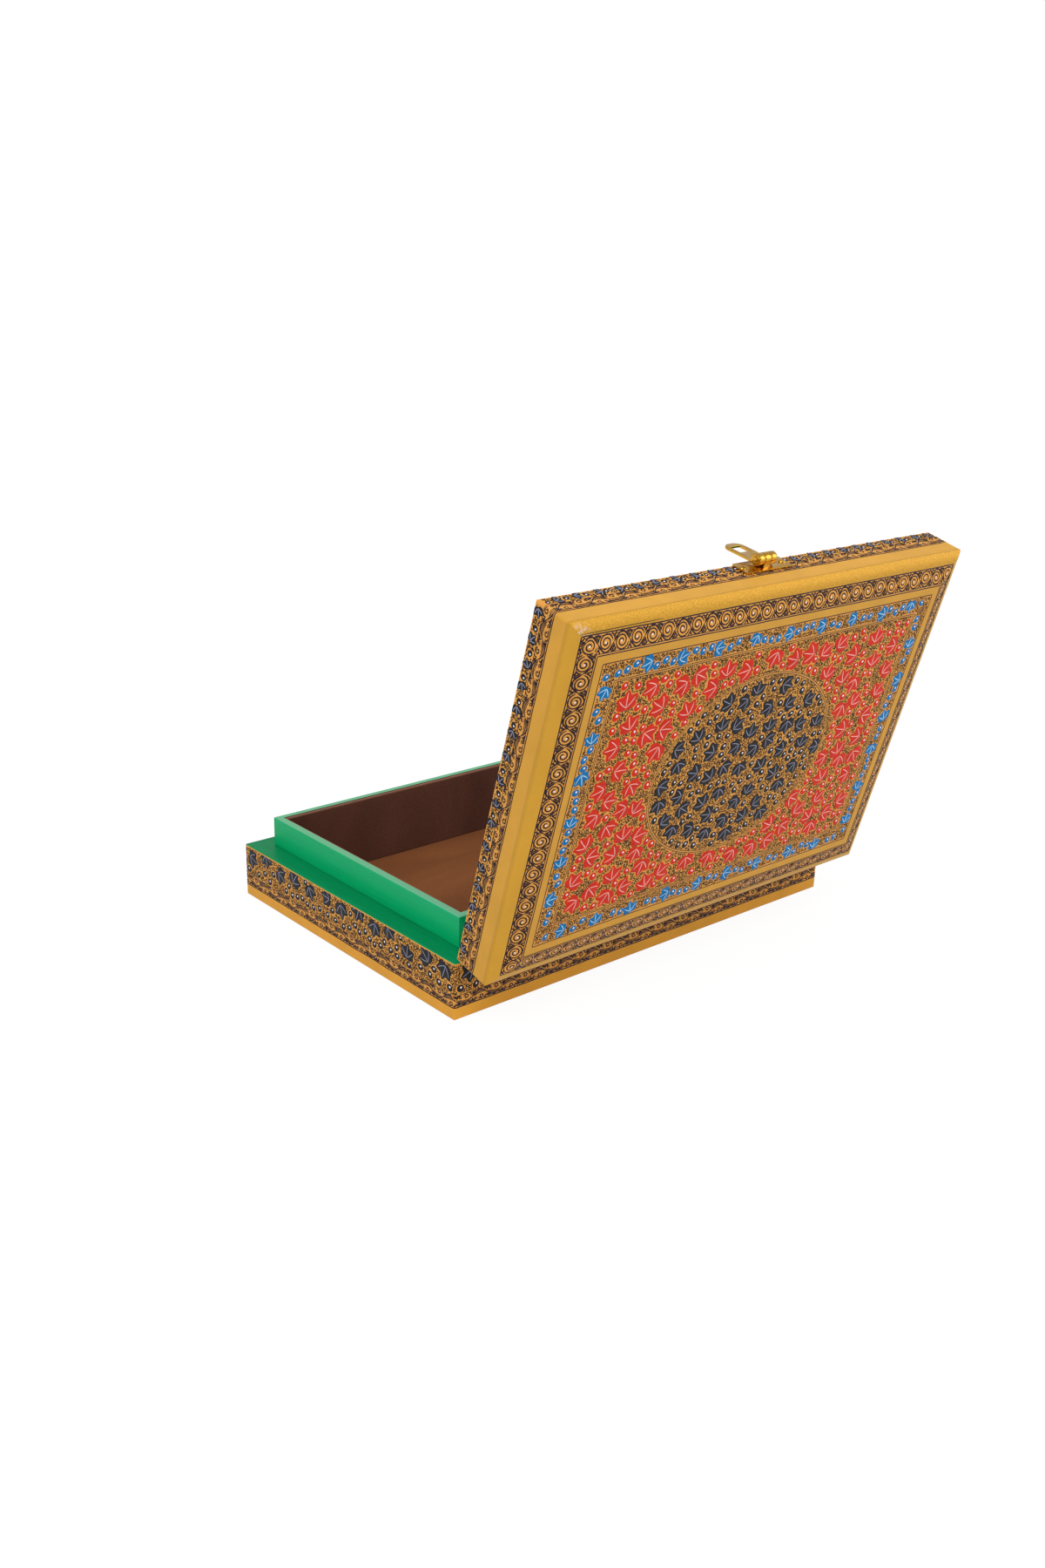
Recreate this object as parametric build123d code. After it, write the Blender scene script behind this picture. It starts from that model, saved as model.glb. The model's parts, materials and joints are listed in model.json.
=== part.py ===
from build123d import *
import math
import os

# Painted box with a hinged lid. X runs along the long sides, the front is -Y, the hinges are at +Y,
# and the origin is the middle of the underside. All sizes are in millimetres.

# Case
case_length = 230.0
case_width = 164.0
base_height = 26.3
base_wall = 10.3
base_panel_thickness = 5.5
foot_radius = 1.2
edge_radius = 0.8
corner_radius = 1.2
panel_corner_chamfer = 0.7

# Raised lip round the opening
lip_height = 14.5
lip_thickness = 3.4
lip_edge_radius = 0.6

# Velvet linings
lining_thickness = 1.2
lining_drop = 0.4
floor_pad_thickness = 1.2
lid_pad_thickness = 1.2
lid_pad_margin = 0.6

# Lid, and how far it stands open
seam_gap = 0.2
lid_wall_height = 17.7
lid_wall = 8.5
lid_panel_thickness = 5.4
moulding_edge = 0.6
moulding_width = 5.1
moulding_rise = 3.2
moulding_bulge = 0.5
border_inset = 13.4
lid_back_edge_radius = 2.0
open_angle = 105.2

# Hinges
hinge_end_distance = 45.0
hinge_length = 26.0
hinge_leaf_height = 9.5
hinge_leaf_thickness = 0.7
hinge_leaf_corner = 1.0
hinge_knuckle_radius = 1.2
hinge_middle_knuckle = 10.4
hinge_pin_radius = 0.55
hinge_back_gap = 0.1
hinge_rise = 0.9
hinge_screw_spacing = 18.0
hinge_screw_drop = 6.2
hinge_screw_head_radius = 1.3
hinge_screw_shank_radius = 0.7
hinge_screw_length = 6.0
stop_length = 4.6
stop_thickness = 1.3

# Latch on the lid's front
latch_plate_length = 27.2
latch_plate_height = 8.8
latch_plate_thickness = 0.8
latch_plate_corner = 0.8
latch_plate_lift = 0.2
latch_axis_height = 4.4
latch_knuckle_radius = 2.5
latch_knuckle_lift = 0.15
latch_tongue_width = 3.6
latch_pin_radius = 1.0
latch_screw_spacing = 23.2
latch_screw_head_radius = 1.5
latch_screw_shank_radius = 0.8
latch_screw_length = 7.0
hasp_width = 10.0
hasp_length = 19.0
hasp_thickness = 1.0
hasp_offset = 1.4
hasp_droop = 4.0
hasp_tip_radius = 4.2
hasp_slot_width = 6.0
hasp_slot_length = 6.0
hasp_slot_start = 10.0
hasp_window_end = 3.5

# Staple on the base's front
staple_wire_radius = 0.7
staple_leg_spacing = 3.0
staple_reach = 5.4
staple_depth = 7.0

# Screw heads
screw_head_height = 0.6
screw_slot_width = 0.4
screw_slot_depth = 0.3

# Fits
running_clearance = 0.05
knuckle_gap = 0.2
stop_clearance = 0.05
screw_hole_clearance = 0.05
screw_hole_spare_depth = 0.5
pin_end_reach = 0.3

# How far a cutting shape stands past what it cuts
cut_margin = 1.0

# Places worked out from the sizes
half_width = case_width / 2
lip_top = base_height + lip_height
rim_height = base_height + seam_gap
hinge_y = half_width + hinge_back_gap + hinge_knuckle_radius
hinge_z = base_height + seam_gap / 2 + hinge_rise
hinge_line = Axis((0, hinge_y, hinge_z), (-1, 0, 0))
front_face = -half_width
latch_axis_y = front_face - latch_plate_thickness - latch_knuckle_lift - latch_knuckle_radius
latch_axis_z = rim_height + latch_axis_height
latch_line = Axis((0, latch_axis_y, latch_axis_z), (-1, 0, 0))


def section(width, low, high, low_front=(0, 0), low_back=(0, 0), high_front=(0, 0), high_back=(0, 0)):
    """Upright rectangle whose corners may be arcs, each given as (across, up) with up >= across.

    An arc leaves the upright side smoothly, and as a quarter circle it meets the level side smoothly too.
    """
    half = width / 2
    corners = [
        (half, low, low_back, -1, 1),
        (half, high, high_back, -1, -1),
        (-half, high, high_front, 1, -1),
        (-half, low, low_front, 1, 1),
    ]
    points = []
    arcs = []
    for x, z, (across, up), toward_x, toward_z in corners:
        if across > 0:
            radius = (across ** 2 + up ** 2) / (2 * across)
            turn = math.degrees(math.atan2(up, radius - across))
            centre = (x + toward_x * radius, z + toward_z * up)
            start = 90 * (1 + toward_x) + (0 if toward_x == toward_z else -turn)
            arc = CenterArc(centre, radius, start, turn)
            arcs.append(arc)
            points.append((arc @ 0, arc @ 1))
        else:
            points.append((Vector(x, z), Vector(x, z)))
    ends = [(points[i][1], points[(i + 1) % 4][0]) for i in range(4)]
    sides = [Line(start, end) for start, end in ends if (start - end).length > 1e-6]
    return make_face(arcs + sides)


def moulded_block(plan, length, width, low, high, along_x, along_y):
    """Block with one section along X, another along Y and the outline of a plan."""
    middle = (low + high) / 2
    across_y = extrude(Plane.YZ * along_x, length, both=True)
    across_x = extrude(Plane.XZ * along_y, width, both=True)
    upright = Pos(0, 0, middle) * extrude(plan, (high - low) / 2, both=True)
    return across_y & across_x & upright


def crowned_section(width, low, high):
    """Section of the lid's panel: rounded moulding at each edge, sloping border, level field."""
    half = width / 2
    edge = (half, low + moulding_edge)
    groove = (half - moulding_width, low + moulding_rise)
    field = (half - border_inset, high)
    right = [Line((half, low), edge), SagittaArc(groove, edge, moulding_bulge), Line(groove, field)]
    left = [mirror(curve, Plane.YZ) for curve in right]
    level = [Line((-half, low), (half, low)), Line((-field[0], high), field)]
    return make_face(right + left + level)


def mitred_walls(block, length, width, wall, low, high):
    """Hollow a block out and part it at its mitres into front, back, left and right walls."""
    hollow = Pos(0, 0, (low + high) / 2) * Box(length - 2 * wall, width - 2 * wall, high - low)
    ring = block - hollow
    outer_x, outer_y = length / 2 + cut_margin, width / 2 + cut_margin
    inner_x, inner_y = length / 2 - wall - cut_margin, width / 2 - wall - cut_margin
    long_wedge = Polyline((-outer_x, -outer_y), (outer_x, -outer_y), (inner_x, -inner_y),
                          (-inner_x, -inner_y), close=True)
    short_wedge = Polyline((outer_x, -outer_y), (outer_x, outer_y), (inner_x, inner_y),
                           (inner_x, -inner_y), close=True)
    front_cut = extrude(make_face(long_wedge), high + cut_margin)
    right_cut = extrude(make_face(short_wedge), high + cut_margin)
    return {
        "front": ring & front_cut,
        "back": ring & Rot(0, 0, 180) * front_cut,
        "right": ring & right_cut,
        "left": ring & Rot(0, 0, 180) * right_cut,
    }


def screw(head_radius, shank_radius, length):
    """Slotted screw with its head's seat at the origin and its shank down -Z."""
    head = Pos(0, 0, screw_head_height / 2) * Cylinder(head_radius, screw_head_height)
    shank = Pos(0, 0, -length / 2) * Cylinder(shank_radius, length)
    slot = Pos(0, 0, screw_head_height) * Box(3 * head_radius, screw_slot_width, 2 * screw_slot_depth)
    return head + shank - slot


def screw_hole(shank_radius, depth):
    """Hole for such a screw's shank, from just above its seat down -Z."""
    radius = shank_radius + screw_hole_clearance
    return Pos(0, 0, (cut_margin - depth) / 2) * Cylinder(radius, depth + cut_margin)


def rod(radius, length):
    """Round bar along X."""
    return Rot(0, 90, 0) * Cylinder(radius, length)


def opened(piece):
    """Turn a lid piece from its closed place to where the open lid holds it."""
    return piece.rotate(hinge_line, open_angle)


def hinge_places():
    """The middle of each hinge along X."""
    x = case_length / 2 - hinge_end_distance
    return (-x, x)


def hinge_screw_places(above):
    """Seats of one leaf's screws on both hinges, above or below the hinge line."""
    side = 1 if above else -1
    z = hinge_z + side * hinge_screw_drop
    y = half_width + hinge_leaf_thickness
    offsets = (-hinge_screw_spacing / 2, hinge_screw_spacing / 2)
    return [Pos(x + dx, y, z) * Rot(-90, 0, 0) for x in hinge_places() for dx in offsets]


def latch_screw_places():
    """Seats of the latch plate's screws."""
    z = latch_axis_z
    y = front_face - latch_plate_thickness
    return [Pos(side * latch_screw_spacing / 2, y, z) * Rot(90, 0, 0) for side in (-1, 1)]


def staple_centre():
    """Height of the staple's middle: the middle of the hasp's slot when the lid is closed."""
    reach = hasp_slot_start + hasp_slot_length / 2
    droop = math.radians(hasp_droop)
    return latch_axis_z - reach * math.cos(droop) + hasp_offset * math.sin(droop)


def staple(radius, extra_depth=0.0):
    """U of wire that stands out of the front wall, with its legs one above the other."""
    half = staple_leg_spacing / 2
    z = staple_centre()
    bend_y = front_face - staple_reach + radius + half
    end_y = front_face + staple_depth + extra_depth
    high, low = z + half, z - half
    route = Line((0, end_y, high), (0, bend_y, high))
    route += ThreePointArc((0, bend_y, high), (0, bend_y - half, z), (0, bend_y, low))
    route += Line((0, bend_y, low), (0, end_y, low))
    return sweep(Plane(route @ 0, z_dir=route % 0) * Circle(radius), route)


def base_pieces():
    """Case of the base: four mitred walls and the panel let in between them."""
    foot = (foot_radius, foot_radius)
    ledge = (edge_radius, edge_radius)
    rounds = {"low_front": foot, "low_back": foot, "high_front": ledge, "high_back": ledge}
    along_x = section(case_width, 0, base_height, **rounds)
    along_y = section(case_length, 0, base_height, **rounds)
    plan = RectangleRounded(case_length, case_width, corner_radius)
    block = moulded_block(plan, case_length, case_width, 0, base_height, along_x, along_y)
    walls = mitred_walls(block, case_length, case_width, base_wall, 0, base_height)
    hinge_hole = screw_hole(hinge_screw_shank_radius, hinge_screw_length + screw_hole_spare_depth)
    for place in hinge_screw_places(above=False):
        walls["back"] -= place * hinge_hole
    walls["front"] -= staple(staple_wire_radius + screw_hole_clearance, screw_hole_spare_depth)
    inside_length = case_length - 2 * base_wall
    inside_width = case_width - 2 * base_wall
    panel = Pos(0, 0, base_panel_thickness / 2) * Box(inside_length, inside_width, base_panel_thickness)
    nodes = {"base_" + side + "_wall": wall for side, wall in walls.items()}
    nodes["base_panel"] = panel
    return nodes


def lip_pieces():
    """Raised lip: four boards that stand on the panel inside the case."""
    length = case_length - 2 * base_wall
    width = case_width - 2 * base_wall
    edge = (lip_edge_radius, lip_edge_radius)
    low = base_panel_thickness
    along_x = section(width, low, lip_top, high_front=edge, high_back=edge)
    along_y = section(length, low, lip_top, high_front=edge, high_back=edge)
    block = moulded_block(Rectangle(length, width), length, width, low, lip_top, along_x, along_y)
    boards = mitred_walls(block, length, width, lip_thickness, low, lip_top)
    return {"lip_" + side: board for side, board in boards.items()}


def lining_pieces():
    """Velvet on the lip's inside, and the floor pad that it stands on."""
    length = case_length - 2 * (base_wall + lip_thickness)
    width = case_width - 2 * (base_wall + lip_thickness)
    floor_top = base_panel_thickness + floor_pad_thickness
    high = lip_top - lining_drop
    block = Pos(0, 0, (floor_top + high) / 2) * Box(length, width, high - floor_top)
    linings = mitred_walls(block, length, width, lining_thickness, floor_top, high)
    nodes = {"lining_" + side: lining for side, lining in linings.items()}
    pad_middle = base_panel_thickness + floor_pad_thickness / 2
    nodes["floor_pad"] = Pos(0, 0, pad_middle) * Box(length, width, floor_pad_thickness)
    return nodes


def lid_pieces():
    """Lid: four mitred walls, the moulded panel on them and the velvet pad under it."""
    low = rim_height
    high = rim_height + lid_wall_height
    rim = (edge_radius, edge_radius)
    back_rim = (lid_back_edge_radius, lid_back_edge_radius)
    along_x = section(case_width, low, high, low_front=rim, low_back=back_rim)
    along_y = section(case_length, low, high, low_front=rim, low_back=rim)
    plan = RectangleRounded(case_length, case_width, corner_radius)
    block = moulded_block(plan, case_length, case_width, low, high, along_x, along_y)
    walls = mitred_walls(block, case_length, case_width, lid_wall, low, high)
    hinge_hole = screw_hole(hinge_screw_shank_radius, hinge_screw_length + screw_hole_spare_depth)
    latch_hole = screw_hole(latch_screw_shank_radius, latch_screw_length + screw_hole_spare_depth)
    for place in hinge_screw_places(above=True):
        walls["back"] -= place * hinge_hole
    for place in latch_screw_places():
        walls["front"] -= place * latch_hole
    top = high + lid_panel_thickness
    panel_x = crowned_section(case_width, high, top)
    panel_y = crowned_section(case_length, high, top)
    outline = chamfer(Rectangle(case_length, case_width).vertices(), panel_corner_chamfer)
    panel = moulded_block(outline, case_length, case_width, high, top, panel_x, panel_y)
    pad_length = case_length - 2 * (lid_wall + lid_pad_margin)
    pad_width = case_width - 2 * (lid_wall + lid_pad_margin)
    pad = Pos(0, 0, high - lid_pad_thickness / 2) * Box(pad_length, pad_width, lid_pad_thickness)
    nodes = {"lid_" + side + "_wall": wall for side, wall in walls.items()}
    nodes["lid_panel"] = panel
    nodes["lid_pad"] = pad
    return {name: opened(piece) for name, piece in nodes.items()}


def hinge_leaf(above):
    """Rolled leaf on the back face: the base's has the outer knuckles, the lid's the middle one."""
    side = 1 if above else -1
    outer_length = (hinge_length - hinge_middle_knuckle) / 2 - knuckle_gap
    plan = RectangleRounded(hinge_length, 2 * hinge_leaf_height, hinge_leaf_corner)
    sheet = extrude(Plane.XZ * plan, -hinge_leaf_thickness)
    half_size = (2 * hinge_length, 3 * hinge_leaf_thickness, 2 * hinge_leaf_height)
    half_sheet = Pos(0, 0, side * hinge_leaf_height) * Box(*half_size)
    plate = Pos(0, half_width, hinge_z) * (sheet & half_sheet)
    middle = rod(hinge_knuckle_radius, hinge_middle_knuckle)
    outer_x = (hinge_length - outer_length) / 2
    outers = [Pos(end * outer_x, 0, 0) * rod(hinge_knuckle_radius, outer_length) for end in (-1, 1)]
    room = hinge_knuckle_radius + 2 * knuckle_gap
    if above:
        own = [middle]
        clear = [Pos(end * hinge_length / 2, 0, 0)
                 * rod(room, hinge_length - hinge_middle_knuckle) for end in (-1, 1)]
    else:
        own = outers
        clear = [rod(room, hinge_middle_knuckle + 2 * knuckle_gap)]
    axis_place = Pos(0, hinge_y, hinge_z)
    leaf = plate
    for cut in clear:
        leaf -= axis_place * cut
    for knuckle in own:
        leaf += axis_place * knuckle
    if above:
        leaf += stop_lug()
    leaf -= axis_place * rod(hinge_pin_radius + running_clearance, 2 * hinge_length)
    for offset in (-hinge_screw_spacing / 2, hinge_screw_spacing / 2):
        seat = Pos(offset, half_width + hinge_leaf_thickness, hinge_z + side * hinge_screw_drop)
        leaf -= seat * Rot(-90, 0, 0) * screw_hole(hinge_screw_shank_radius, 2 * hinge_leaf_thickness)
    return leaf


def stop_lug():
    """Heel on the lid leaf's knuckle that meets the base leaf when the lid is fully open."""
    face = half_width + hinge_leaf_thickness + stop_clearance
    middle = Pos(0, face + stop_thickness / 2, hinge_z - stop_length / 2)
    lug = middle * Box(hinge_middle_knuckle, stop_thickness, stop_length)
    return lug.rotate(hinge_line, -open_angle)


def hinge_pieces():
    """Both hinges: leaves, pins and the screws that hold the leaves."""
    nodes = {}
    pin = rod(hinge_pin_radius, hinge_length + 2 * pin_end_reach)
    for name, x in zip(("left", "right"), hinge_places()):
        nodes[name + "_hinge_base_leaf"] = Pos(x, 0, 0) * hinge_leaf(above=False)
        nodes[name + "_hinge_lid_leaf"] = opened(Pos(x, 0, 0) * hinge_leaf(above=True))
        nodes[name + "_hinge_pin"] = Pos(x, hinge_y, hinge_z) * pin
    fastener = screw(hinge_screw_head_radius, hinge_screw_shank_radius, hinge_screw_length)
    low = [place * fastener for place in hinge_screw_places(above=False)]
    high = [opened(place * fastener) for place in hinge_screw_places(above=True)]
    nodes["base_hinge_screws"] = Compound(children=low)
    nodes["lid_hinge_screws"] = Compound(children=high)
    return nodes


def latch_plate():
    """Plate on the lid's front, with the tongue rolled up from its middle round the latch pin."""
    plan = RectangleRounded(latch_plate_length, latch_plate_height, latch_plate_corner)
    sheet = extrude(Plane.XZ * plan, latch_plate_thickness)
    middle_z = rim_height + latch_plate_lift + latch_plate_height / 2
    plate = Pos(0, front_face, middle_z) * sheet
    roll_top = latch_axis_z + latch_knuckle_radius
    tongue_z = roll_top - latch_plate_thickness / 2
    rise = front_face - latch_axis_y
    tongue = Pos(0, front_face - rise / 2, tongue_z) * Box(latch_tongue_width, rise, latch_plate_thickness)
    roll = Pos(0, latch_axis_y, latch_axis_z) * rod(latch_knuckle_radius, latch_tongue_width)
    gap_low = rim_height - cut_margin
    gap_high = roll_top - latch_plate_thickness
    gap_size = Box(latch_tongue_width + 2 * knuckle_gap, 3 * latch_plate_thickness, gap_high - gap_low)
    plate -= Pos(0, front_face, (gap_low + gap_high) / 2) * gap_size
    plate += tongue
    plate += roll
    plate -= Pos(0, latch_axis_y, latch_axis_z) * rod(latch_pin_radius + running_clearance, 2 * hasp_width)
    for place in latch_screw_places():
        plate -= place * screw_hole(latch_screw_shank_radius, 2 * latch_plate_thickness)
    return plate


def latch_hasp():
    """Stamped strap with two rolled knuckles, a square slot and a rounded tip."""
    strap_plan = Pos(0, -hasp_length / 2) * Rectangle(hasp_width, hasp_length)
    tip_corners = strap_plan.vertices().sort_by(Axis.Y)[:2]
    strap_plan = fillet(tip_corners, hasp_tip_radius)
    window_width = latch_tongue_width + 2 * knuckle_gap
    strap_plan -= Rectangle(window_width, 2 * hasp_window_end)
    slot_middle = hasp_slot_start + hasp_slot_length / 2
    strap_plan -= Pos(0, -slot_middle) * Rectangle(hasp_slot_width, hasp_slot_length)
    strap = Pos(0, hasp_offset, 0) * extrude(Plane.XZ * strap_plan, hasp_thickness / 2, both=True)
    knuckle_length = (hasp_width - window_width) / 2
    knuckle_x = (hasp_width - knuckle_length) / 2
    hasp = strap
    for side in (-1, 1):
        hasp += Pos(side * knuckle_x, 0, 0) * rod(latch_knuckle_radius, knuckle_length)
    hasp -= rod(latch_pin_radius + running_clearance, 2 * hasp_width)
    hanging = Pos(0, latch_axis_y, latch_axis_z) * hasp
    return hanging.rotate(latch_line, -hasp_droop)


def latch_pieces():
    """Latch on the lid, and the staple that its hasp drops over."""
    pin = Pos(0, latch_axis_y, latch_axis_z) * rod(latch_pin_radius, hasp_width + 2 * pin_end_reach)
    fastener = screw(latch_screw_head_radius, latch_screw_shank_radius, latch_screw_length)
    screws = [opened(place * fastener) for place in latch_screw_places()]
    return {
        "latch_plate": opened(latch_plate()),
        "latch_hasp": opened(latch_hasp()),
        "latch_pin": opened(pin),
        "latch_screws": Compound(children=screws),
        "catch_staple": staple(staple_wire_radius),
    }


def all_pieces():
    """Every piece of the box by its name, with the lid standing open."""
    nodes = {}
    for group in (base_pieces, lip_pieces, lining_pieces, lid_pieces, hinge_pieces, latch_pieces):
        nodes.update(group())
    return nodes


os.makedirs("parts", exist_ok=True)
for node_name, node_shape in all_pieces().items():
    node_shape.label = node_name
    export_step(node_shape, os.path.join("parts", node_name + ".step"))
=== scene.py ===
import json
import math
import random
from contextlib import contextmanager

import bmesh
import bpy
from bpy.props import FloatProperty, FloatVectorProperty, IntProperty, PointerProperty
from bpy.types import Operator, Panel, PropertyGroup
from mathutils import Color, Matrix, Vector


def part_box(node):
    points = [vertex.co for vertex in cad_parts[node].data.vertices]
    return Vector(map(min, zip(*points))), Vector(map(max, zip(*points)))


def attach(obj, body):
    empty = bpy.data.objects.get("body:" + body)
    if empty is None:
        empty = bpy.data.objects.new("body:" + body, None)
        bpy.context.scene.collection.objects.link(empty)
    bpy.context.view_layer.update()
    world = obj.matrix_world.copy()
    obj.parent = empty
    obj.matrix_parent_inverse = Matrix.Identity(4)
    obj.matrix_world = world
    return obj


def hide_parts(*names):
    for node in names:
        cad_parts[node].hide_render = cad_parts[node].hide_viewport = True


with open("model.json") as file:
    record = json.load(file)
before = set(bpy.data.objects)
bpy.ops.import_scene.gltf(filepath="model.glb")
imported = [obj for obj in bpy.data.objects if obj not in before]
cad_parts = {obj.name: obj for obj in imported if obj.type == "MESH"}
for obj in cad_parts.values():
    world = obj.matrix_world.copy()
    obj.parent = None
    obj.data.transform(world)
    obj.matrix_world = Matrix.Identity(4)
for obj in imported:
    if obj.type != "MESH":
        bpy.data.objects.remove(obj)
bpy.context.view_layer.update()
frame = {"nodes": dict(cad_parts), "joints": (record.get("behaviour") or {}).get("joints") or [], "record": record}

bl_info = {
    "name": "Painted Box",
    "version": (1, 0, 0),
    "blender": (4, 5, 0),
    "location": "View3D > Sidebar > Painted Box",
    "description": "Dresses a hinged box with painted leaves, scrolls, velvet and brass",
    "category": "Object",
}

MM = 0.001
HINGE = next(joint for joint in frame["joints"] if joint["name"] == "lid_hinge")
SIDES = ("front", "right", "back", "left")


# Places taken from the frame

def opening_turn():
    """Matrix that turns the closed lid to where it stands open."""
    hinge = Vector(HINGE["pos_m"])
    turn = Matrix.Rotation(-math.radians(min(HINGE["range_deg"])), 4, Vector(HINGE["axis"]))
    return Matrix.Translation(hinge) @ turn @ Matrix.Translation(-hinge)


OPENED = opening_turn()
CLOSED = OPENED.inverted()


def extent(points):
    """Lowest and highest corner of the box round some points."""
    return [Vector(limit(point[i] for point in points) for i in range(3)) for limit in (min, max)]


def closed_box(node):
    """Lowest and highest corner of a lid node with the lid closed."""
    return extent([CLOSED @ vertex.co for vertex in frame["nodes"][node].data.vertices])


CASE_LOW, CASE_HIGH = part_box("base_front_wall")
HALF_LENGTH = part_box("base_right_wall")[1].x
HALF_WIDTH = -CASE_LOW.y
LEDGE = CASE_HIGH.z
RIM = closed_box("lid_front_wall")[0].z
PANEL_LOW, PANEL_TOP = (corner.z for corner in closed_box("lid_panel"))
LAMPS_AIM = Vector((0, 0.03, 0.08))


# Settings

def length(name, millimetres, description):
    """Distance property, given in millimetres."""
    return FloatProperty(name=name, description=description, default=millimetres * MM, min=0,
                         subtype="DISTANCE", unit="LENGTH", precision=5)


def colour(name, red, green, blue, description):
    """Colour property, given as 0 to 255 display values."""
    return FloatVectorProperty(name=name, description=description, size=3, min=0, max=1,
                               subtype="COLOR_GAMMA", default=(red / 255, green / 255, blue / 255))


def whole(name, number, description):
    """Whole number property."""
    return IntProperty(name=name, description=description, default=number, min=0)


def rotation(name, degrees, description):
    """Angle property, given in degrees."""
    return FloatProperty(name=name, description=description, default=math.radians(degrees),
                         subtype="ANGLE", unit="ROTATION")


def lamp_power(name, watts, description):
    """Power property of a lamp, given in watts."""
    return FloatProperty(name=name, description=description, default=watts, min=0,
                         subtype="POWER", unit="POWER")


class BandSizes(PropertyGroup):
    """Where the painted bands begin and end."""
    foot_band: length("Foot band", 5.96, "Height of the plain gold band round the foot")
    base_scroll: length("Base scroll", 11.27, "Height of the line above the base's scroll band")
    lid_leaves: length("Lid leaves", 5.25, "Height above the rim of the line over the lid's leaf band")
    lid_scroll: length("Lid scroll", 10.85, "Height above the rim of the line over the lid's scroll band")
    scroll: length("Scroll", 5.1, "Distance from the lid's edge to the scroll band, at the groove")
    plain: length("Plain strip", 13.4, "Distance from the lid's edge to the plain strip, which is level")
    scroll_drop: length("Scroll drop", 2.2, "How far the scroll band slopes down to the groove")
    border: length("Border", 17.4, "Distance from the lid's edge to the blue border")
    field: length("Field", 25.9, "Distance from the lid's edge to the red field")
    oval_length: length("Oval length", 51.8, "Half length of the middle oval")
    oval_width: length("Oval width", 42.1, "Half width of the middle oval")
    edge: length("Edge", 0.8, "Rounded edge of the walls that stays free of paint strokes")
    rim_edge: length("Back rim edge", 2.0, "Rounded back rim of the lid")
    corner: length("Corner", 1.2, "Rounded upright corner of the walls")


class MotifSizes(PropertyGroup):
    """Sizes and spacing of the painted motifs."""
    red_leaf: length("Red leaf", 7.7, "Reach of a leaf in the field")
    oval_leaf: length("Oval leaf", 6.8, "Reach of a leaf in the oval")
    border_leaf: length("Border leaf", 5.7, "Reach of a leaf in the blue border")
    wall_leaf: length("Wall leaf", 7.3, "Reach of a leaf on the base's walls")
    lid_leaf: FloatProperty(name="Lid leaf", default=0.95, min=0,
                            description="Reach of a leaf on the lid's walls, as a share of their leaf band")
    berry: length("Berry", 2.05, "Half length of a berry")
    thickness: length("Paint thickness", 0.08, "Thickness of a painted leaf")
    line: length("Line", 0.58, "Width of a line in the scroll bands")
    border_line: length("Border line", 0.52, "Width of a line between two bands")
    tendril: length("Tendril", 0.45, "Width of a tendril")
    vein: length("Vein", 0.42, "Width of a leaf's vein")
    tendril_pitch: length("Tendril pitch", 2.3, "Distance between two of the largest tendrils")
    halo: length("Halo", 0.12, "Bare ground round a motif")
    top_pitch: length("Top scroll pitch", 7.75, "Length of one rosette in the lid's scroll band")
    wall_pitch: length("Wall scroll pitch", 8.0, "Length of one curl in a wall's scroll band")
    leaf_pitch: length("Leaf pitch", 12.0, "Distance between two leaves on the base's walls")
    border_pitch: length("Border pitch", 19.6, "Distance between two leaves of the blue border")
    red_leaves: whole("Red leaves", 190, "How many leaves are tried in the red field")
    red_berries: whole("Red berries", 170, "The most berries in the red field")
    oval_leaves: whole("Oval leaves", 130, "How many leaves are tried in the oval")
    oval_berries: whole("Oval berries", 130, "The most berries in the oval")
    seed: whole("Seed", 7, "Start of the random layout")


class PaintColours(PropertyGroup):
    """Colours of the paints, cloths and metal."""
    ochre: colour("Ochre", 224, 158, 72, "Ground under the ornament")
    plain_gold: colour("Plain gold", 214, 158, 62, "Plain gold bands")
    foot_gold: colour("Foot gold", 230, 164, 58, "Plain band round the foot")
    leaf_gold: colour("Leaf gold", 196, 146, 50, "Gilt moulding")
    ink: colour("Ink", 44, 29, 36, "Scroll and border lines")
    tendril_ink: colour("Tendril ink", 34, 22, 18, "Tendrils between the leaves")
    black: colour("Black", 30, 29, 33, "Black leaves and berries")
    blue: colour("Blue", 0, 113, 174, "Blue leaves and berries")
    red: colour("Red", 210, 42, 20, "Red leaves and berries")
    red_vein: colour("Red vein", 244, 184, 174, "Veins of the red leaves")
    blue_vein: colour("Blue vein", 176, 212, 240, "Veins of the blue leaves")
    black_vein: colour("Black vein", 140, 140, 162, "Veins of the black leaves")
    # The colour below also makes the painted highlights on the lip's top and near one front corner of the gilt.
    glint: colour("Glint", 244, 232, 236, "Light spots on the berries and rosettes")
    green: colour("Green", 0, 150, 92, "Enamel of the lip and the ledge")
    # The colour below is painted reflection: the lighter green toward the lip's top.
    worn_green: colour("Worn green", 6, 176, 114, "Thin worn enamel near the lip's top")
    velvet: colour("Velvet", 92, 56, 43, "Pile of the linings")
    # The colour below makes the linings paler along their upper edge.
    worn_velvet: colour("Worn velvet", 178, 128, 108, "Upper edge of the linings, where the pile is worn")
    suede: colour("Suede", 125, 75, 42, "Nap of the floor pad")
    brass: colour("Brass", 208, 158, 58, "Latch and hinges")


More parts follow.
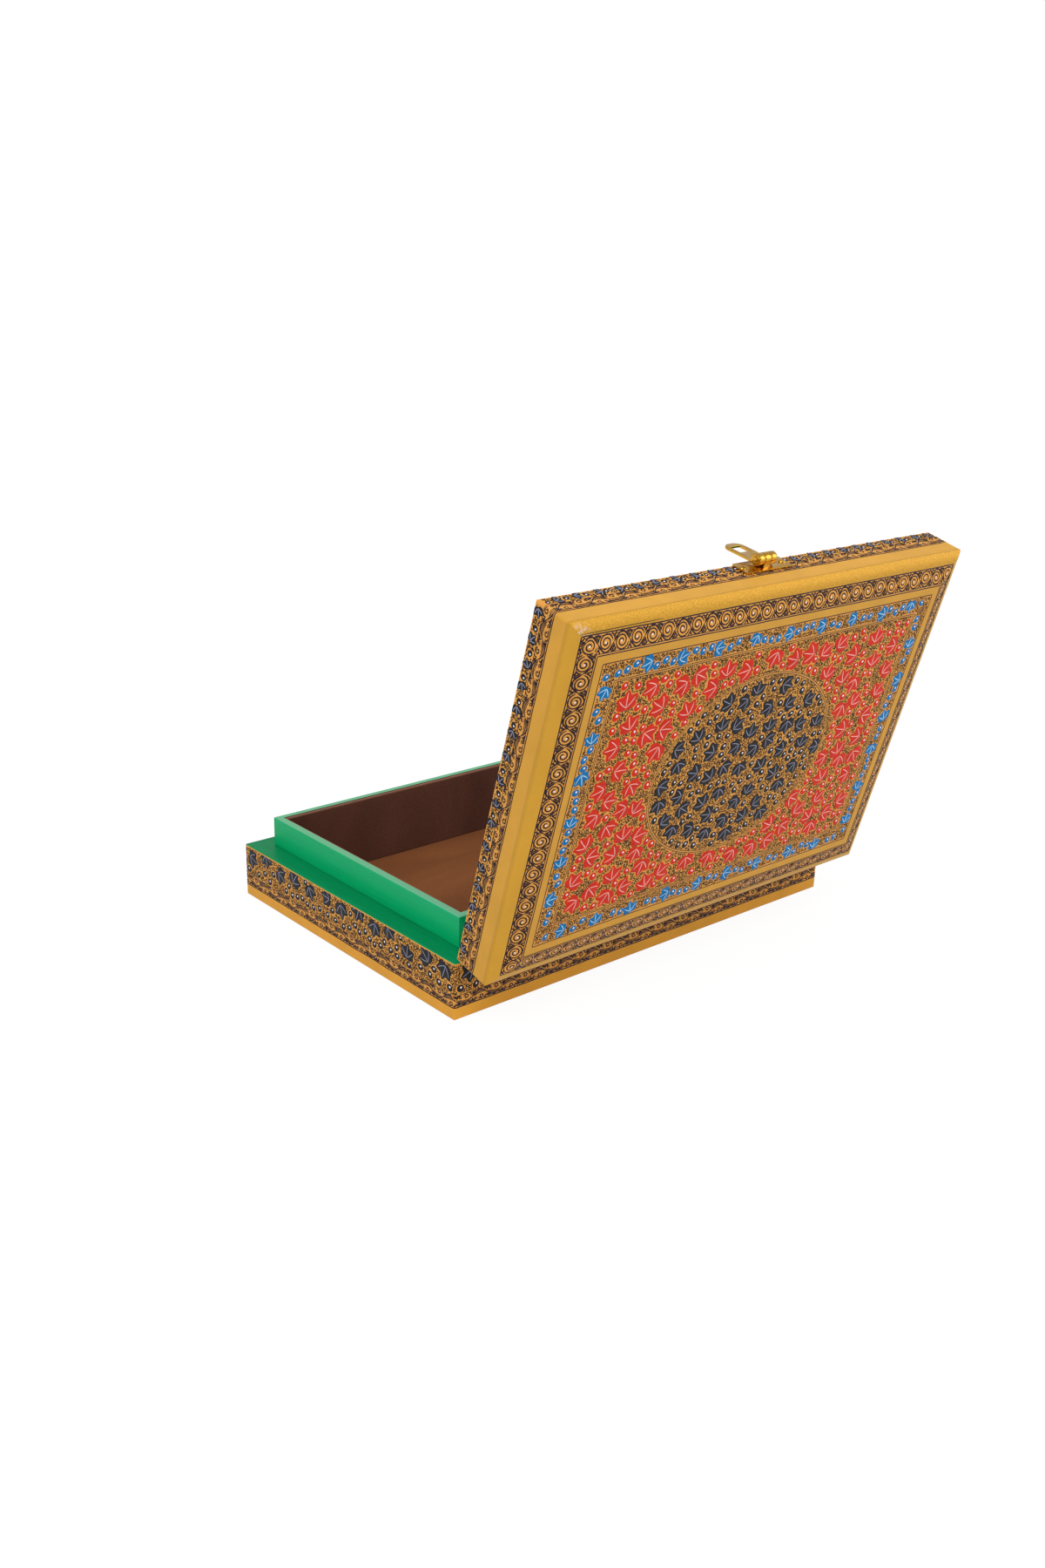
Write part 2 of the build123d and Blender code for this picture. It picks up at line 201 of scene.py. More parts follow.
class StudioSettings(PropertyGroup):
    """Camera and lights."""
    camera_place: FloatVectorProperty(name="Camera", description="Place of the camera", size=3,
                                      subtype="TRANSLATION", unit="LENGTH",
                                      default=(0.47602, 0.53923, 0.31535))
    camera_turn: rotation("Turn", -130.826, "Compass direction that the camera looks in, from +X")
    camera_dip: rotation("Dip", 19.843, "How far down the camera looks")
    camera_roll: rotation("Roll", 1.511, "Roll of the camera")
    lens: FloatProperty(name="Lens", description="Focal length on a 36 mm long side", default=36.317)
    sky: FloatProperty(name="Sky", description="Strength of the light from all round", default=0.65, min=0)
    key: lamp_power("Key", 9.0, "Power of the large lamp above the camera")
    fill: lamp_power("Fill", 4.5, "Power of the lamp on the other side")


# Surfaces that the ornament is laid on

class Walls:
    """Outside of four walls, unrolled: x runs round them from the front's left end, y up, z out."""

    def __init__(self, body, low, turn, corner):
        self.body = body
        self.place = turn @ Matrix.Translation((0, 0, low))
        self.corner = corner
        self.straights = (2 * (HALF_LENGTH - corner), 2 * (HALF_WIDTH - corner))
        self.bend = math.pi / 2 * corner
        self.around = 2 * sum(self.straights) + 4 * self.bend

    def spans(self):
        """Where each wall's flat part starts and ends along x."""
        spans, start = [], 0.0
        for number in range(4):
            spans.append((start, start + self.straights[number % 2]))
            start = spans[-1][1] + self.bend
        return spans

    def point(self, x, y, out):
        """Place of a point of the unrolled walls."""
        x %= self.around
        for number in range(4):
            straight = self.straights[number % 2]
            across = (HALF_WIDTH, HALF_LENGTH)[number % 2]
            if x <= straight:
                here = (x - straight / 2, -across - out)
                break
            x -= straight
            if x <= self.bend or number == 3:
                angle, reach = x / self.corner, self.corner + out
                here = (straight / 2 + reach * math.sin(angle),
                        self.corner - across - reach * math.cos(angle))
                break
            x -= self.bend
        for _ in range(number):
            here = (-here[1], here[0])
        return (*here, y)

    def lay(self, mesh):
        """Wrap a flat drawing round the walls."""
        for vertex in mesh.vertices:
            vertex.co = self.point(*vertex.co)
        mesh.transform(self.place)

    def ring_line(self, height, seed):
        """Line all round the walls, drawn by a slightly unsteady hand."""
        hand, wobble = random.Random(seed), 0.07 * MM
        waves = [(math.tau * hand.randint(3, 40) / self.around, hand.uniform(0, math.tau)) for _ in range(4)]
        places = []
        for start, end in self.spans():
            places += [start + (end - start) * i / 60 for i in range(60)]
            places += [end + self.bend * i / 5 for i in range(5)]
        places.append(self.around)
        return [(x, height + wobble / 2 * sum(math.sin(rate * x + phase) for rate, phase in waves))
                for x in places]


class Top:
    """Top of the lid: x and y run along it from its middle, z out, and its scroll band slopes down."""

    def __init__(self, bands):
        self.body = "lid"
        self.level_from = bands.plain
        self.slope = bands.scroll_drop / (bands.plain - bands.scroll)
        self.place = OPENED @ Matrix.Translation((0, 0, PANEL_TOP)) @ Matrix.Rotation(math.pi, 4, "Z")

    def lay(self, mesh):
        """Lay a flat drawing on the top."""
        for vertex in mesh.vertices:
            inset = min(HALF_LENGTH - abs(vertex.co.x), HALF_WIDTH - abs(vertex.co.y))
            vertex.co.z -= self.slope * max(0.0, self.level_from - inset)
        mesh.transform(self.place)


# Small helpers for meshes

def deselect():
    """Leave edit mode and select nothing."""
    if bpy.context.object and bpy.context.object.mode != "OBJECT":
        bpy.ops.object.mode_set(mode="OBJECT")
    bpy.ops.object.select_all(action="DESELECT")


def choose(*objects):
    """Select some objects, the first of them active."""
    deselect()
    for piece in objects:
        piece.select_set(True)
    bpy.context.view_layer.objects.active = objects[0]


@contextmanager
def editing(piece):
    """Edit mode with all of a piece selected."""
    choose(piece)
    bpy.ops.object.mode_set(mode="EDIT")
    bpy.ops.mesh.select_all(action="SELECT")
    yield
    bpy.ops.object.mode_set(mode="OBJECT")


def settle(piece):
    """Put a piece's place, turn and size into its mesh."""
    choose(piece)
    bpy.ops.object.transform_apply(location=True, rotation=True, scale=True)


def apply_modifiers(piece):
    """Apply every modifier of a piece."""
    choose(piece)
    for modifier in list(piece.modifiers):
        bpy.ops.object.modifier_apply(modifier=modifier.name)


def soften(piece, degrees):
    """Shade a piece smooth, but for its edges that are sharper than an angle."""
    choose(piece)
    bpy.ops.object.shade_smooth_by_angle(angle=math.radians(degrees))


def new_piece(name, mesh):
    """Object that shows a mesh."""
    piece = bpy.data.objects.new(name, mesh)
    bpy.context.scene.collection.objects.link(piece)
    return piece


def join(name, pieces):
    """Join pieces into one."""
    choose(*pieces)
    if len(pieces) > 1:
        bpy.ops.object.join()
    piece = bpy.context.object
    piece.name = name
    piece.data.name = name
    return piece


def block(name, low, high):
    """Block between two corners, to be shaped further."""
    deselect()
    bpy.ops.mesh.primitive_cube_add(size=1, location=(low + high) / 2, scale=high - low)
    piece = bpy.context.object
    piece.name = name
    settle(piece)
    return piece


def crop(piece, point, normal):
    """Cut a piece at a plane and close the cut, keeping what lies behind the plane."""
    with editing(piece):
        bpy.ops.mesh.bisect(plane_co=point, plane_no=normal, use_fill=True, clear_outer=True)


def paint_over(piece, finish):
    """Give a piece one material."""
    piece.data.materials.clear()
    piece.data.materials.append(finish)


def dress(piece, body, finish):
    """Give a piece its material, material slot and body."""
    paint_over(piece, finish)
    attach(piece, body)
    return piece


def stamp_at(x, y, out=0.0, angle=0.0, size=1.0):
    """Matrix that puts a stamp on a flat drawing, turned and sized."""
    return (Matrix.Translation((x, y, out)) @ Matrix.Rotation(angle, 4, "Z")
            @ Matrix.Diagonal((size, size, 1, 1)))


# Materials

class Recipe:
    """Node tree of one material, built from the surface outwards."""

    def __init__(self, name):
        self.material = bpy.data.materials.new(name)
        self.material.use_nodes = True
        self.tree = self.material.node_tree
        self.shader = self.tree.nodes["Principled BSDF"]

    def add(self, kind, values=(), **settings):
        """Node of a kind, with inputs given as (socket, value or output)."""
        node = self.tree.nodes.new(kind)
        for key, value in settings.items():
            setattr(node, key, value)
        for socket, value in values:
            self.put(node.inputs[socket], value)
        return node

    def put(self, socket, value):
        """Link an output to a socket, or write a value on it."""
        if isinstance(value, bpy.types.NodeSocket):
            self.tree.links.new(value, socket)
        else:
            socket.default_value = value

    def surface(self, **values):
        """Write on the shader's own sockets, with _ for a space in their names."""
        for name, value in values.items():
            self.put(self.shader.inputs[name.replace("_", " ")], value)

    def place(self, stretch=(1, 1, 1), turn=Matrix.Identity(4)):
        """Object coordinates, turned and stretched."""
        here = self.add("ShaderNodeTexCoord").outputs["Object"]
        if turn != Matrix.Identity(4):
            values = (("Vector", here), ("Location", turn.translation), ("Rotation", turn.to_euler()))
            here = self.add("ShaderNodeMapping", values).outputs[0]
        return self.add("ShaderNodeMapping", (("Vector", here), ("Scale", stretch))).outputs[0]

    def split(self, place):
        """Coordinates x, y and z of a place."""
        return self.add("ShaderNodeSeparateXYZ", (("Vector", place),)).outputs

    def noise(self, place, scale, detail=3.0, roughness=0.5, distortion=0.0):
        """Noise value from 0 to 1."""
        values = (("Vector", place), ("Scale", scale), ("Detail", detail), ("Roughness", roughness),
                  ("Distortion", distortion))
        return self.add("ShaderNodeTexNoise", values).outputs[0]

    def spread(self, value, low, high, to_low=0.0, to_high=1.0):
        """Value moved from one range to another and held inside it."""
        values = ((0, value), (1, low), (2, high), (3, to_low), (4, to_high))
        return self.add("ShaderNodeMapRange", values).outputs[0]

    def maths(self, kind, first, second=0.0):
        """Result of one operation on two values."""
        return self.add("ShaderNodeMath", ((0, first), (1, second)), operation=kind).outputs[0]

    def times(self, first, second):
        """Product of two values, or the overlap of two masks."""
        return self.maths("MULTIPLY", first, second)

    def plus(self, first, second):
        """Sum of two values."""
        return self.maths("ADD", first, second)

    def minus(self, first, second):
        """Difference of two values."""
        return self.maths("SUBTRACT", first, second)

    def above(self, value, limit):
        """Mask of where a value is above a limit."""
        return self.maths("GREATER_THAN", value, limit)

    def below(self, value, limit):
        """Mask of where a value is below a limit."""
        return self.maths("LESS_THAN", value, limit)

    def beyond(self, split, half_x, half_y):
        """How far a place lies outside a rectangle along x, along y, and the larger of both."""
        along_x = self.minus(self.maths("ABSOLUTE", split[0]), half_x)
        along_y = self.minus(self.maths("ABSOLUTE", split[1]), half_y)
        return along_x, along_y, self.maths("MAXIMUM", along_x, along_y)

    def blend(self, share, first, second):
        """Blend of two colours."""
        node = self.add("ShaderNodeMix", data_type="RGBA")
        for socket, value in zip((0, 6, 7), (share, first, second)):
            self.put(node.inputs[socket], value)
        return node.outputs[2]

    def tones(self, share, display, first, second):
        """Blend of two tones of one display colour."""
        return self.blend(share, tint(display, first), tint(display, second))

    def relief(self, height, depth, strength=1.0):
        """Bump from a height that is depth metres high, on the surface's normal."""
        values = (("Height", height), ("Distance", depth), ("Strength", strength))
        self.surface(Normal=self.add("ShaderNodeBump", values).outputs[0])


def tint(display, share=1.0):
    """Linear colour with alpha from a display colour, darker or lighter by a share."""
    linear = Color(display).from_srgb_to_scene_linear()
    return (linear.r * share, linear.g * share, linear.b * share, 1.0)


def drawn_out(along, share):
    """Scale of a pattern that is drawn out along X or Y."""
    return (share, 1, 1) if along == "X" else (1, share, 1)


def varnished(recipe, rough=0.45, coat=0.03):
    """Material of a recipe, under a thin worn varnish."""
    recipe.surface(Roughness=rough, Coat_Weight=coat, Coat_Roughness=0.15, Specular_IOR_Level=0.1)
    return recipe.material


def paint(name, display):
    """Hand-laid paint, a little thicker and darker in places."""
    recipe = Recipe(name)
    here = recipe.place()
    cloud = recipe.spread(recipe.noise(here, 420.0, 4.0), 0.3, 0.7)
    recipe.surface(Base_Color=recipe.tones(cloud, display, 0.84, 1.16))
    recipe.relief(recipe.noise(here, 1900.0, 2.0), 0.01 * MM, 0.5)
    return varnished(recipe)


def ground_layers(recipe, here, colours):
    """Ochre ground and plain gold with soft clouds and fine specks, and the clouds themselves."""
    mottle = recipe.spread(recipe.noise(here, 60.0, 5.0, 0.6), 0.3, 0.7)
    specks = recipe.spread(recipe.noise(here, 1500.0, 2.0), 0.62, 0.75)
    ochre = recipe.tones(mottle, colours.ochre, 0.9, 1.06)
    ochre = recipe.blend(recipe.times(specks, 0.3), ochre, tint(colours.ochre, 0.6))
    gold = recipe.tones(mottle, colours.plain_gold, 0.92, 1.05)
    gold = recipe.blend(recipe.times(specks, 0.12), gold, tint(colours.plain_gold, 0.7))
    return ochre, gold, mottle


def base_ground(name, along, bands, colours):
    """Finish of a base wall: gold foot, ochre ground and chipped green ledge, with strokes along one axis; the
    ledge's green is a darker copy of the enamel, as painted shade.
    """
    recipe = Recipe(name)
    here = recipe.place()
    height = recipe.split(here)[2]
    ochre, _, mottle = ground_layers(recipe, here, colours)
    foot = recipe.tones(mottle, colours.foot_gold, 0.93, 1.05)
    wall = recipe.blend(recipe.below(height, bands.foot_band), ochre, foot)
    streaks = recipe.noise(recipe.place(drawn_out(along, 0.04)), 900.0, 4.0, 0.65)
    # Painted shade: the ledge takes a darker copy of the enamel green than the lip does.
    green = recipe.tones(recipe.spread(streaks, 0.3, 0.7), colours.green, 0.72, 0.92)
    chips = recipe.spread(recipe.noise(here, 130.0, 6.0, 0.7), 0.76, 0.79)
    green = recipe.blend(chips, green, tint(colours.ochre, 0.5))
    on_ledge = recipe.above(height, LEDGE - 0.35 * MM)
    recipe.surface(Base_Color=recipe.blend(on_ledge, wall, green))
    recipe.relief(recipe.plus(streaks, mottle), 0.02 * MM, 0.4)
    return varnished(recipe)


def lid_ground(name, bands, colours):
    """Finish of the lid's wood: ochre ground, plain gold bands, gilt moulding and green inside, with the gilt's
    colour differing by side as painted light, painted shade along the moulding's seam and a painted highlight near
    one front corner.
    """
    recipe = Recipe(name)
    here = recipe.place(turn=CLOSED)
    split = recipe.split(here)
    beyond_x, beyond_y, beyond = recipe.beyond(split, HALF_LENGTH, HALF_WIDTH)
    inset, height = recipe.times(beyond, -1.0), recipe.minus(split[2], RIM)
    panel_low = PANEL_LOW - RIM
    seam = panel_low + 0.3 * MM
    at_front = recipe.times(recipe.below(split[1], 0), recipe.above(beyond_y, beyond_x))
    on_wall = recipe.times(recipe.above(height, bands.lid_scroll), recipe.below(height, seam))
    in_strip = recipe.times(recipe.above(inset, bands.plain), recipe.below(inset, bands.border))
    gilt = recipe.times(recipe.above(height, seam), recipe.below(inset, bands.scroll))
    inside = recipe.times(recipe.above(inset, 0.9 * MM), recipe.below(height, panel_low + 0.05 * MM))

    grain = recipe.noise(recipe.place((0.45, 1, 1), CLOSED), 2600.0, 3.0, 0.7)
    flecks = recipe.spread(recipe.times(grain, recipe.noise(here, 1500.0, 4.0, 0.6)), 0.14, 0.36)
    grainy_gilt = recipe.tones(flecks, colours.leaf_gold, 0.82, 1.18)
    # Painted highlight: a whitish fleck on the gilt near one front corner of the top.
    highlight_place = (HALF_LENGTH - 5 * MM, 4 * MM - HALF_WIDTH, PANEL_TOP)
    away = recipe.add("ShaderNodeVectorMath", ((0, here), (1, highlight_place)), operation="DISTANCE")
    pale_share = recipe.times(recipe.spread(away.outputs["Value"], 2 * MM, 6 * MM, 1.0, 0.0),
                          recipe.spread(recipe.noise(here, 600.0, 3.0), 0.45, 0.6))
    grainy_gilt = recipe.blend(recipe.times(pale_share, 0.55), grainy_gilt, tint(colours.glint, 0.9))

    ochre, gold, mottle = ground_layers(recipe, here, colours)
    # Partly painted light: the front takes the grainy gilt, and the other three sides a smooth, lighter copy of
    # the same gold, lighter because of how light falls there.
    smooth_gilt = recipe.tones(mottle, colours.leaf_gold, 1.14, 1.26)
    wood = recipe.blend(recipe.maths("MAXIMUM", on_wall, in_strip), ochre, gold)
    wood = recipe.blend(gilt, wood, recipe.blend(at_front, smooth_gilt, grainy_gilt))
    from_seam = recipe.maths("ABSOLUTE", recipe.minus(height, seam))
    shade = recipe.times(recipe.spread(from_seam, 0.0, 1.1 * MM, 0.22, 0.0),
                         recipe.minus(1.0, recipe.times(at_front, 0.7)))
    wood = recipe.blend(shade, wood, tint(colours.leaf_gold, 0.25))
    wood = recipe.blend(inside, wood, tint(colours.green, 0.9))

    grained = recipe.times(gilt, recipe.plus(recipe.times(at_front, 0.95), 0.05))
    recipe.surface(Base_Color=wood, Metallic=recipe.times(grained, 0.55))
    values = (("Vector", here), ("Scale", 1500.0))
    crinkle = recipe.add("ShaderNodeTexVoronoi", values).outputs["Distance"]
    depth = recipe.times(recipe.plus(crinkle, grain), grained)
    recipe.relief(recipe.plus(depth, recipe.times(mottle, 0.15)), 0.1 * MM, 0.6)
    return varnished(recipe)


def enamel(name, along, colours):
    """Green enamel laid on with long brush strokes: a lighter copy of the green than the ledge's, with painted
    shade low on the lip where it meets the ledge, painted reflection growing toward the top, a painted highlight
    along the top, and brown inside.
    """
    recipe = Recipe(name)
    split = recipe.split(recipe.place())
    height = split[2]
    strokes = recipe.place(drawn_out(along, 0.03))
    streaks = recipe.noise(strokes, 1100.0, 5.0, 0.7)
    broad = recipe.noise(strokes, 260.0, 3.0, 0.5)
    # Painted light: the lip takes a lighter copy of the enamel green than the ledge does.
    coat = recipe.tones(recipe.spread(streaks, 0.3, 0.7), colours.green, 1.25, 1.52)
    rise = recipe.spread(height, LEDGE + 6 * MM, LEDGE + 14 * MM)
    # Painted reflection: this mask gives broad patches of lighter green that grow toward the lip's top.
    worn = recipe.times(recipe.spread(broad, 0.35, 0.6), recipe.times(rise, 0.7))
    coat = recipe.blend(worn, coat, tint(colours.worn_green))
    # Painted shade: darker green low on the lip, where it meets the ledge.
    crease_shade = recipe.spread(height, LEDGE + 0.2 * MM, LEDGE + 1.0 * MM, 0.6, 0.0)
    coat = recipe.blend(crease_shade, coat, tint(colours.green, 0.4))
    # Painted highlight: a pale strip along the lip's top edge.
    top_highlight = recipe.above(height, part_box("lip_front")[1].z - 0.3 * MM)
    coat = recipe.blend(recipe.times(top_highlight, 0.2), coat, tint(colours.glint, 0.8))
    beyond = recipe.beyond(split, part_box("lining_right")[1].x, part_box("lining_back")[1].y)[2]
    inside = recipe.below(beyond, 0.05 * MM)
    recipe.surface(Base_Color=recipe.blend(inside, coat, tint(colours.velvet)))
    recipe.relief(recipe.plus(streaks, broad), 0.04 * MM, 0.6)
    return varnished(recipe, 0.38, 0.05)


def cloth(name, display, pile, stretch, edge=None, worn=None):
    """Short pile with soft patches where it has been stroked, and a paler colour near an upper edge."""
    recipe = Recipe(name)
    here = recipe.place()
    patches = recipe.noise(recipe.place(stretch), 34.0, 4.0, 0.5, 0.3)
    fibres = recipe.noise(here, pile, 3.0, 0.7)
    share = recipe.spread(recipe.plus(patches, recipe.times(fibres, 0.45)), 0.45, 1.0)
    pile_colour = recipe.tones(share, display, 0.66, 1.3)
    if edge is not None:
        # Paler colour along the upper edge of the lining.
        pale_share = recipe.spread(recipe.split(here)[2], edge - 0.9 * MM, edge - 0.3 * MM, 0.0, 0.6)
        pile_colour = recipe.blend(pale_share, pile_colour, tint(worn))
    recipe.surface(Base_Color=pile_colour, Roughness=0.95, Sheen_Weight=0.3, Sheen_Roughness=0.45,
                   Sheen_Tint=tint(display, 1.6), Specular_IOR_Level=0.15)
    recipe.relief(fibres, 0.25 * MM, 0.8)
    return recipe.material


def brass_finish(colours):
    """Bright stamped brass with fine scratches and a little tarnish."""
    recipe = Recipe("bright_brass")
    here = recipe.place()
    tarnish = recipe.spread(recipe.noise(here, 160.0, 4.0, 0.6), 0.35, 0.75)
    scratches = recipe.noise(recipe.place((1, 0.08, 0.08)), 3200.0, 2.0, 0.5)
    recipe.surface(Base_Color=recipe.tones(tarnish, colours.brass, 1.08, 0.78), Metallic=1.0,
                   Roughness=recipe.spread(scratches, 0.3, 0.7, 0.1, 0.24))
    recipe.relief(recipe.plus(scratches, recipe.noise(here, 500.0, 2.0)), 0.01 * MM, 0.5)
    return recipe.material


# Drawing on flat sheets, in metres

def arc(x, y, start_radius, end_radius, start, end, steps, stretch=1.0):
    """Points of an arc or spiral, with its angles in degrees, stretched along x."""
    points = []
    for i in range(steps + 1):
        share = i / steps
        radius = start_radius + (end_radius - start_radius) * share
        angle = math.radians(start + (end - start) * share)
        points.append((x + stretch * radius * math.cos(angle), y + radius * math.sin(angle)))
    return points


def smooth(points, steps=3):
    """Smooth line through some points."""
    chain = [points[0], *points, points[-1]]
    line = []
    for i in range(1, len(chain) - 2):
        before, first, second, after = chain[i - 1:i + 3]
        for k in range(steps):
            t = k / steps
            line.append(tuple(
                0.5 * (2 * first[j] + (second[j] - before[j]) * t
                       + (2 * before[j] - 5 * first[j] + 4 * second[j] - after[j]) * t * t
                       + (3 * first[j] - before[j] - 3 * second[j] + after[j]) * t ** 3)
                for j in (0, 1)))
    line.append(points[-1])
    return line


def moved(points, x, y, angle=0.0, size=1.0, flip=1):
    """Points turned, sized, mirrored up and down and moved."""
    cosine, sine = math.cos(angle) * size, math.sin(angle) * size
    return [(x + px * cosine - flip * py * sine, y + px * sine + flip * py * cosine) for px, py in points]


def wave(side, rise, start, end, shift, steps):
    """Part of the stem over one scroll unit, moved up by a shift. Start and end go from -1 to 1."""
    points = []
    for i in range(steps + 1):
        t = start + (end - start) * i / steps
        points.append((side * t, rise * math.cos(math.pi / 2 * t) + shift))
    return points


# Short strokes in the corners of a scroll unit: (share of a line's width, points as shares of its half sizes)
ROSETTE_CORNERS = (
    (1.1, ((-1.02, 0.24), (-0.86, 0.7), (-0.62, 0.99))),
    (0.8, ((-0.84, 0.3), (-0.74, 0.56), (-0.56, 0.84))),
    (1.2, ((1.0, 0.5), (0.84, 0.76), (0.72, 1.0))),
    (1.0, ((-1.0, -0.5), (-0.9, -0.76), (-0.7, -0.98))),
    (1.0, ((0.98, -0.16), (0.9, -0.5), (0.66, -0.76))),
)
CURL_CORNERS = (
    (1.0, ((-0.98, -0.2), (-0.8, -0.74), (-0.5, -0.98))),
    (1.0, ((-1.0, -0.55), (-0.92, -0.8), (-0.76, -1.0))),
    (1.0, ((-0.86, 0.5), (-0.72, 0.7), (-0.5, 0.98))),
    (0.9, ((-1.0, 0.4), (-0.88, 0.72), (-0.74, 0.98))),
    (1.0, ((0.66, -0.98), (0.9, -0.8), (0.86, -0.4))),
    (1.0, ((0.6, 0.98), (0.8, 0.76), (0.98, 0.6))),
    (0.9, ((0.78, 1.0), (0.9, 0.9), (1.02, 0.84))),
)


def corner_strokes(corners, side, half, width):
    """Strokes in the corners of a scroll unit."""
    return [(smooth([(x * side, y * half) for x, y in points]), share * width) for share, points in corners]


def rosette(pitch, height, width):
    """Strokes of one rosette of the wide scroll band, round its own middle."""
    half, side = height / 2, pitch / 2
    return [
        (wave(side, 0.95 * half, -1, 1, 0, 12), 1.2 * width),
        (arc(0, -0.06 * half, 0.93 * half, 0.16 * half, 190, 920, 28, 1.05), 1.05 * width),
        *corner_strokes(ROSETTE_CORNERS, side, half, width),
        (arc(-0.94 * side, 0.86 * half, 0.13 * half, 0.05 * half, 250, -60, 6), 0.9 * width),
        (arc(0.9 * side, 0.42 * half, 0.15 * half, 0.05 * half, 100, 400, 7), 0.9 * width),
        (arc(0.88 * side, -0.84 * half, 0.15 * half, 0.05 * half, -40, 280, 6), 0.9 * width),
    ]


def curl(pitch, height, width):
    """Strokes of one curl of a narrow scroll band, round its own middle."""
    half, side = height / 2, pitch / 2
    return [
        (wave(side, 0.9 * half, -1, 1, 0, 10), 1.2 * width),
        (wave(side, 0.9 * half, -0.86, 0.62, -0.34 * half, 8), 0.9 * width),
        (wave(side, 0.9 * half, -0.6, 0.3, -0.62 * half, 6), 0.8 * width),
        (arc(0.26 * side, -0.46 * half, 0.46 * half, 0.1 * half, 200, 620, 14, 1.4), width),
        (arc(-0.5 * side, -0.6 * half, 0.26 * half, 0.08 * half, 20, 400, 8, 1.4), 0.9 * width),
        *corner_strokes(CURL_CORNERS, side, half, width),
    ]


CURLS = (
    arc(0, 0, 1.0, 0.25, 200, -260, 12),
    smooth([(-1.15, -0.2), (-0.3, 0.85), (0.75, 0.5), (0.6, -0.45), (-0.15, -0.3), (0.05, 0.2)], 2),
    smooth([(-1.0, 0.6), (-0.8, -0.6), (0, -0.3), (0.2, 0.6), (0.95, 0.6), (1.0, -0.5)], 2),
    arc(0, 0, 0.9, 0.4, 40, 400, 10),
)
HOOKS = (
    arc(0, 0, 1.0, 0.6, 200, -60, 6),
    smooth([(-1.1, -0.3), (-0.3, 0.6), (0.3, -0.5), (1.1, 0.4)], 2),
    smooth([(-0.5, -1.1), (0.5, -0.4), (-0.4, 0.3), (0.4, 1.1)], 2),
    arc(0, 0, 0.8, 0.5, 30, 330, 6),
)

# Layers of tendrils, largest first: (shapes, spacing and half size as shares of the pitch)
TENDRIL_LAYERS = ((CURLS, 1.0, 0.44), (CURLS, 0.7, 0.3), (HOOKS, 0.5, 0.2), (HOOKS, 0.36, 0.13))
TENDRILS_IN_PIECE = 2500

# Cell of the grid in which a layout looks for neighbours, wider than the radii of two spots together
GRID_CELL = 6 * MM
THROWS_PER_LEAF = 60
BERRY_THROWS = 9000
BERRIES_AT_MOST = 10000

# Half outline of a leaf round the place where its veins meet, from tip to stem: (degrees, reach)
LEAF_SIDE = ((0, 1.0), (9, 0.88), (19, 0.7), (29, 0.74), (41, 0.86), (50, 0.9), (58, 0.76), (67, 0.62),
             (80, 0.66), (92, 0.57), (108, 0.4), (134, 0.24), (160, 0.14), (180, 0.12))
LEAF_ROUND = LEAF_SIDE + tuple((360 - angle, reach) for angle, reach in LEAF_SIDE[-2:0:-1])
VEINS_MEET = -0.44

# Round spots that cover a leaf of unit size: (x, y, radius)
LEAF_SPOTS = (
    (0, 0, 0.34), (0.38, 0, 0.19), (0.04, 0.44, 0.22), (0.04, -0.44, 0.22), (0.12, 0.6, 0.1),
    (0.12, -0.6, 0.1), (-0.34, 0.4, 0.18), (-0.34, -0.4, 0.18), (-0.33, 0.56, 0.1), (-0.33, -0.56, 0.1),
    (-0.42, 0, 0.17))


def leaf_spots(x, y, angle, size):
    """Round spots that cover a leaf."""
    return [(*moved([(px, py)], x, y, angle, size)[0], radius * size) for px, py, radius in LEAF_SPOTS]


def leaf_veins(x, y, angle, size, width):
    """Three veins of a leaf whose tip points along its angle."""
    strokes = []
    for lean, reach, bow in ((0, 0.86, 0.02), (46, 0.7, 0.04), (-46, 0.7, -0.04)):
        away = math.radians(lean)
        line = []
        for i in range(5):
            t = i / 4
            side = bow * math.sin(math.pi * t)
            line.append((VEINS_MEET + t * reach * math.cos(away) - side * math.sin(away),
                         t * reach * math.sin(away) + side * math.cos(away)))
        strokes.append((moved(line, x, y, angle, size), width))
    return strokes


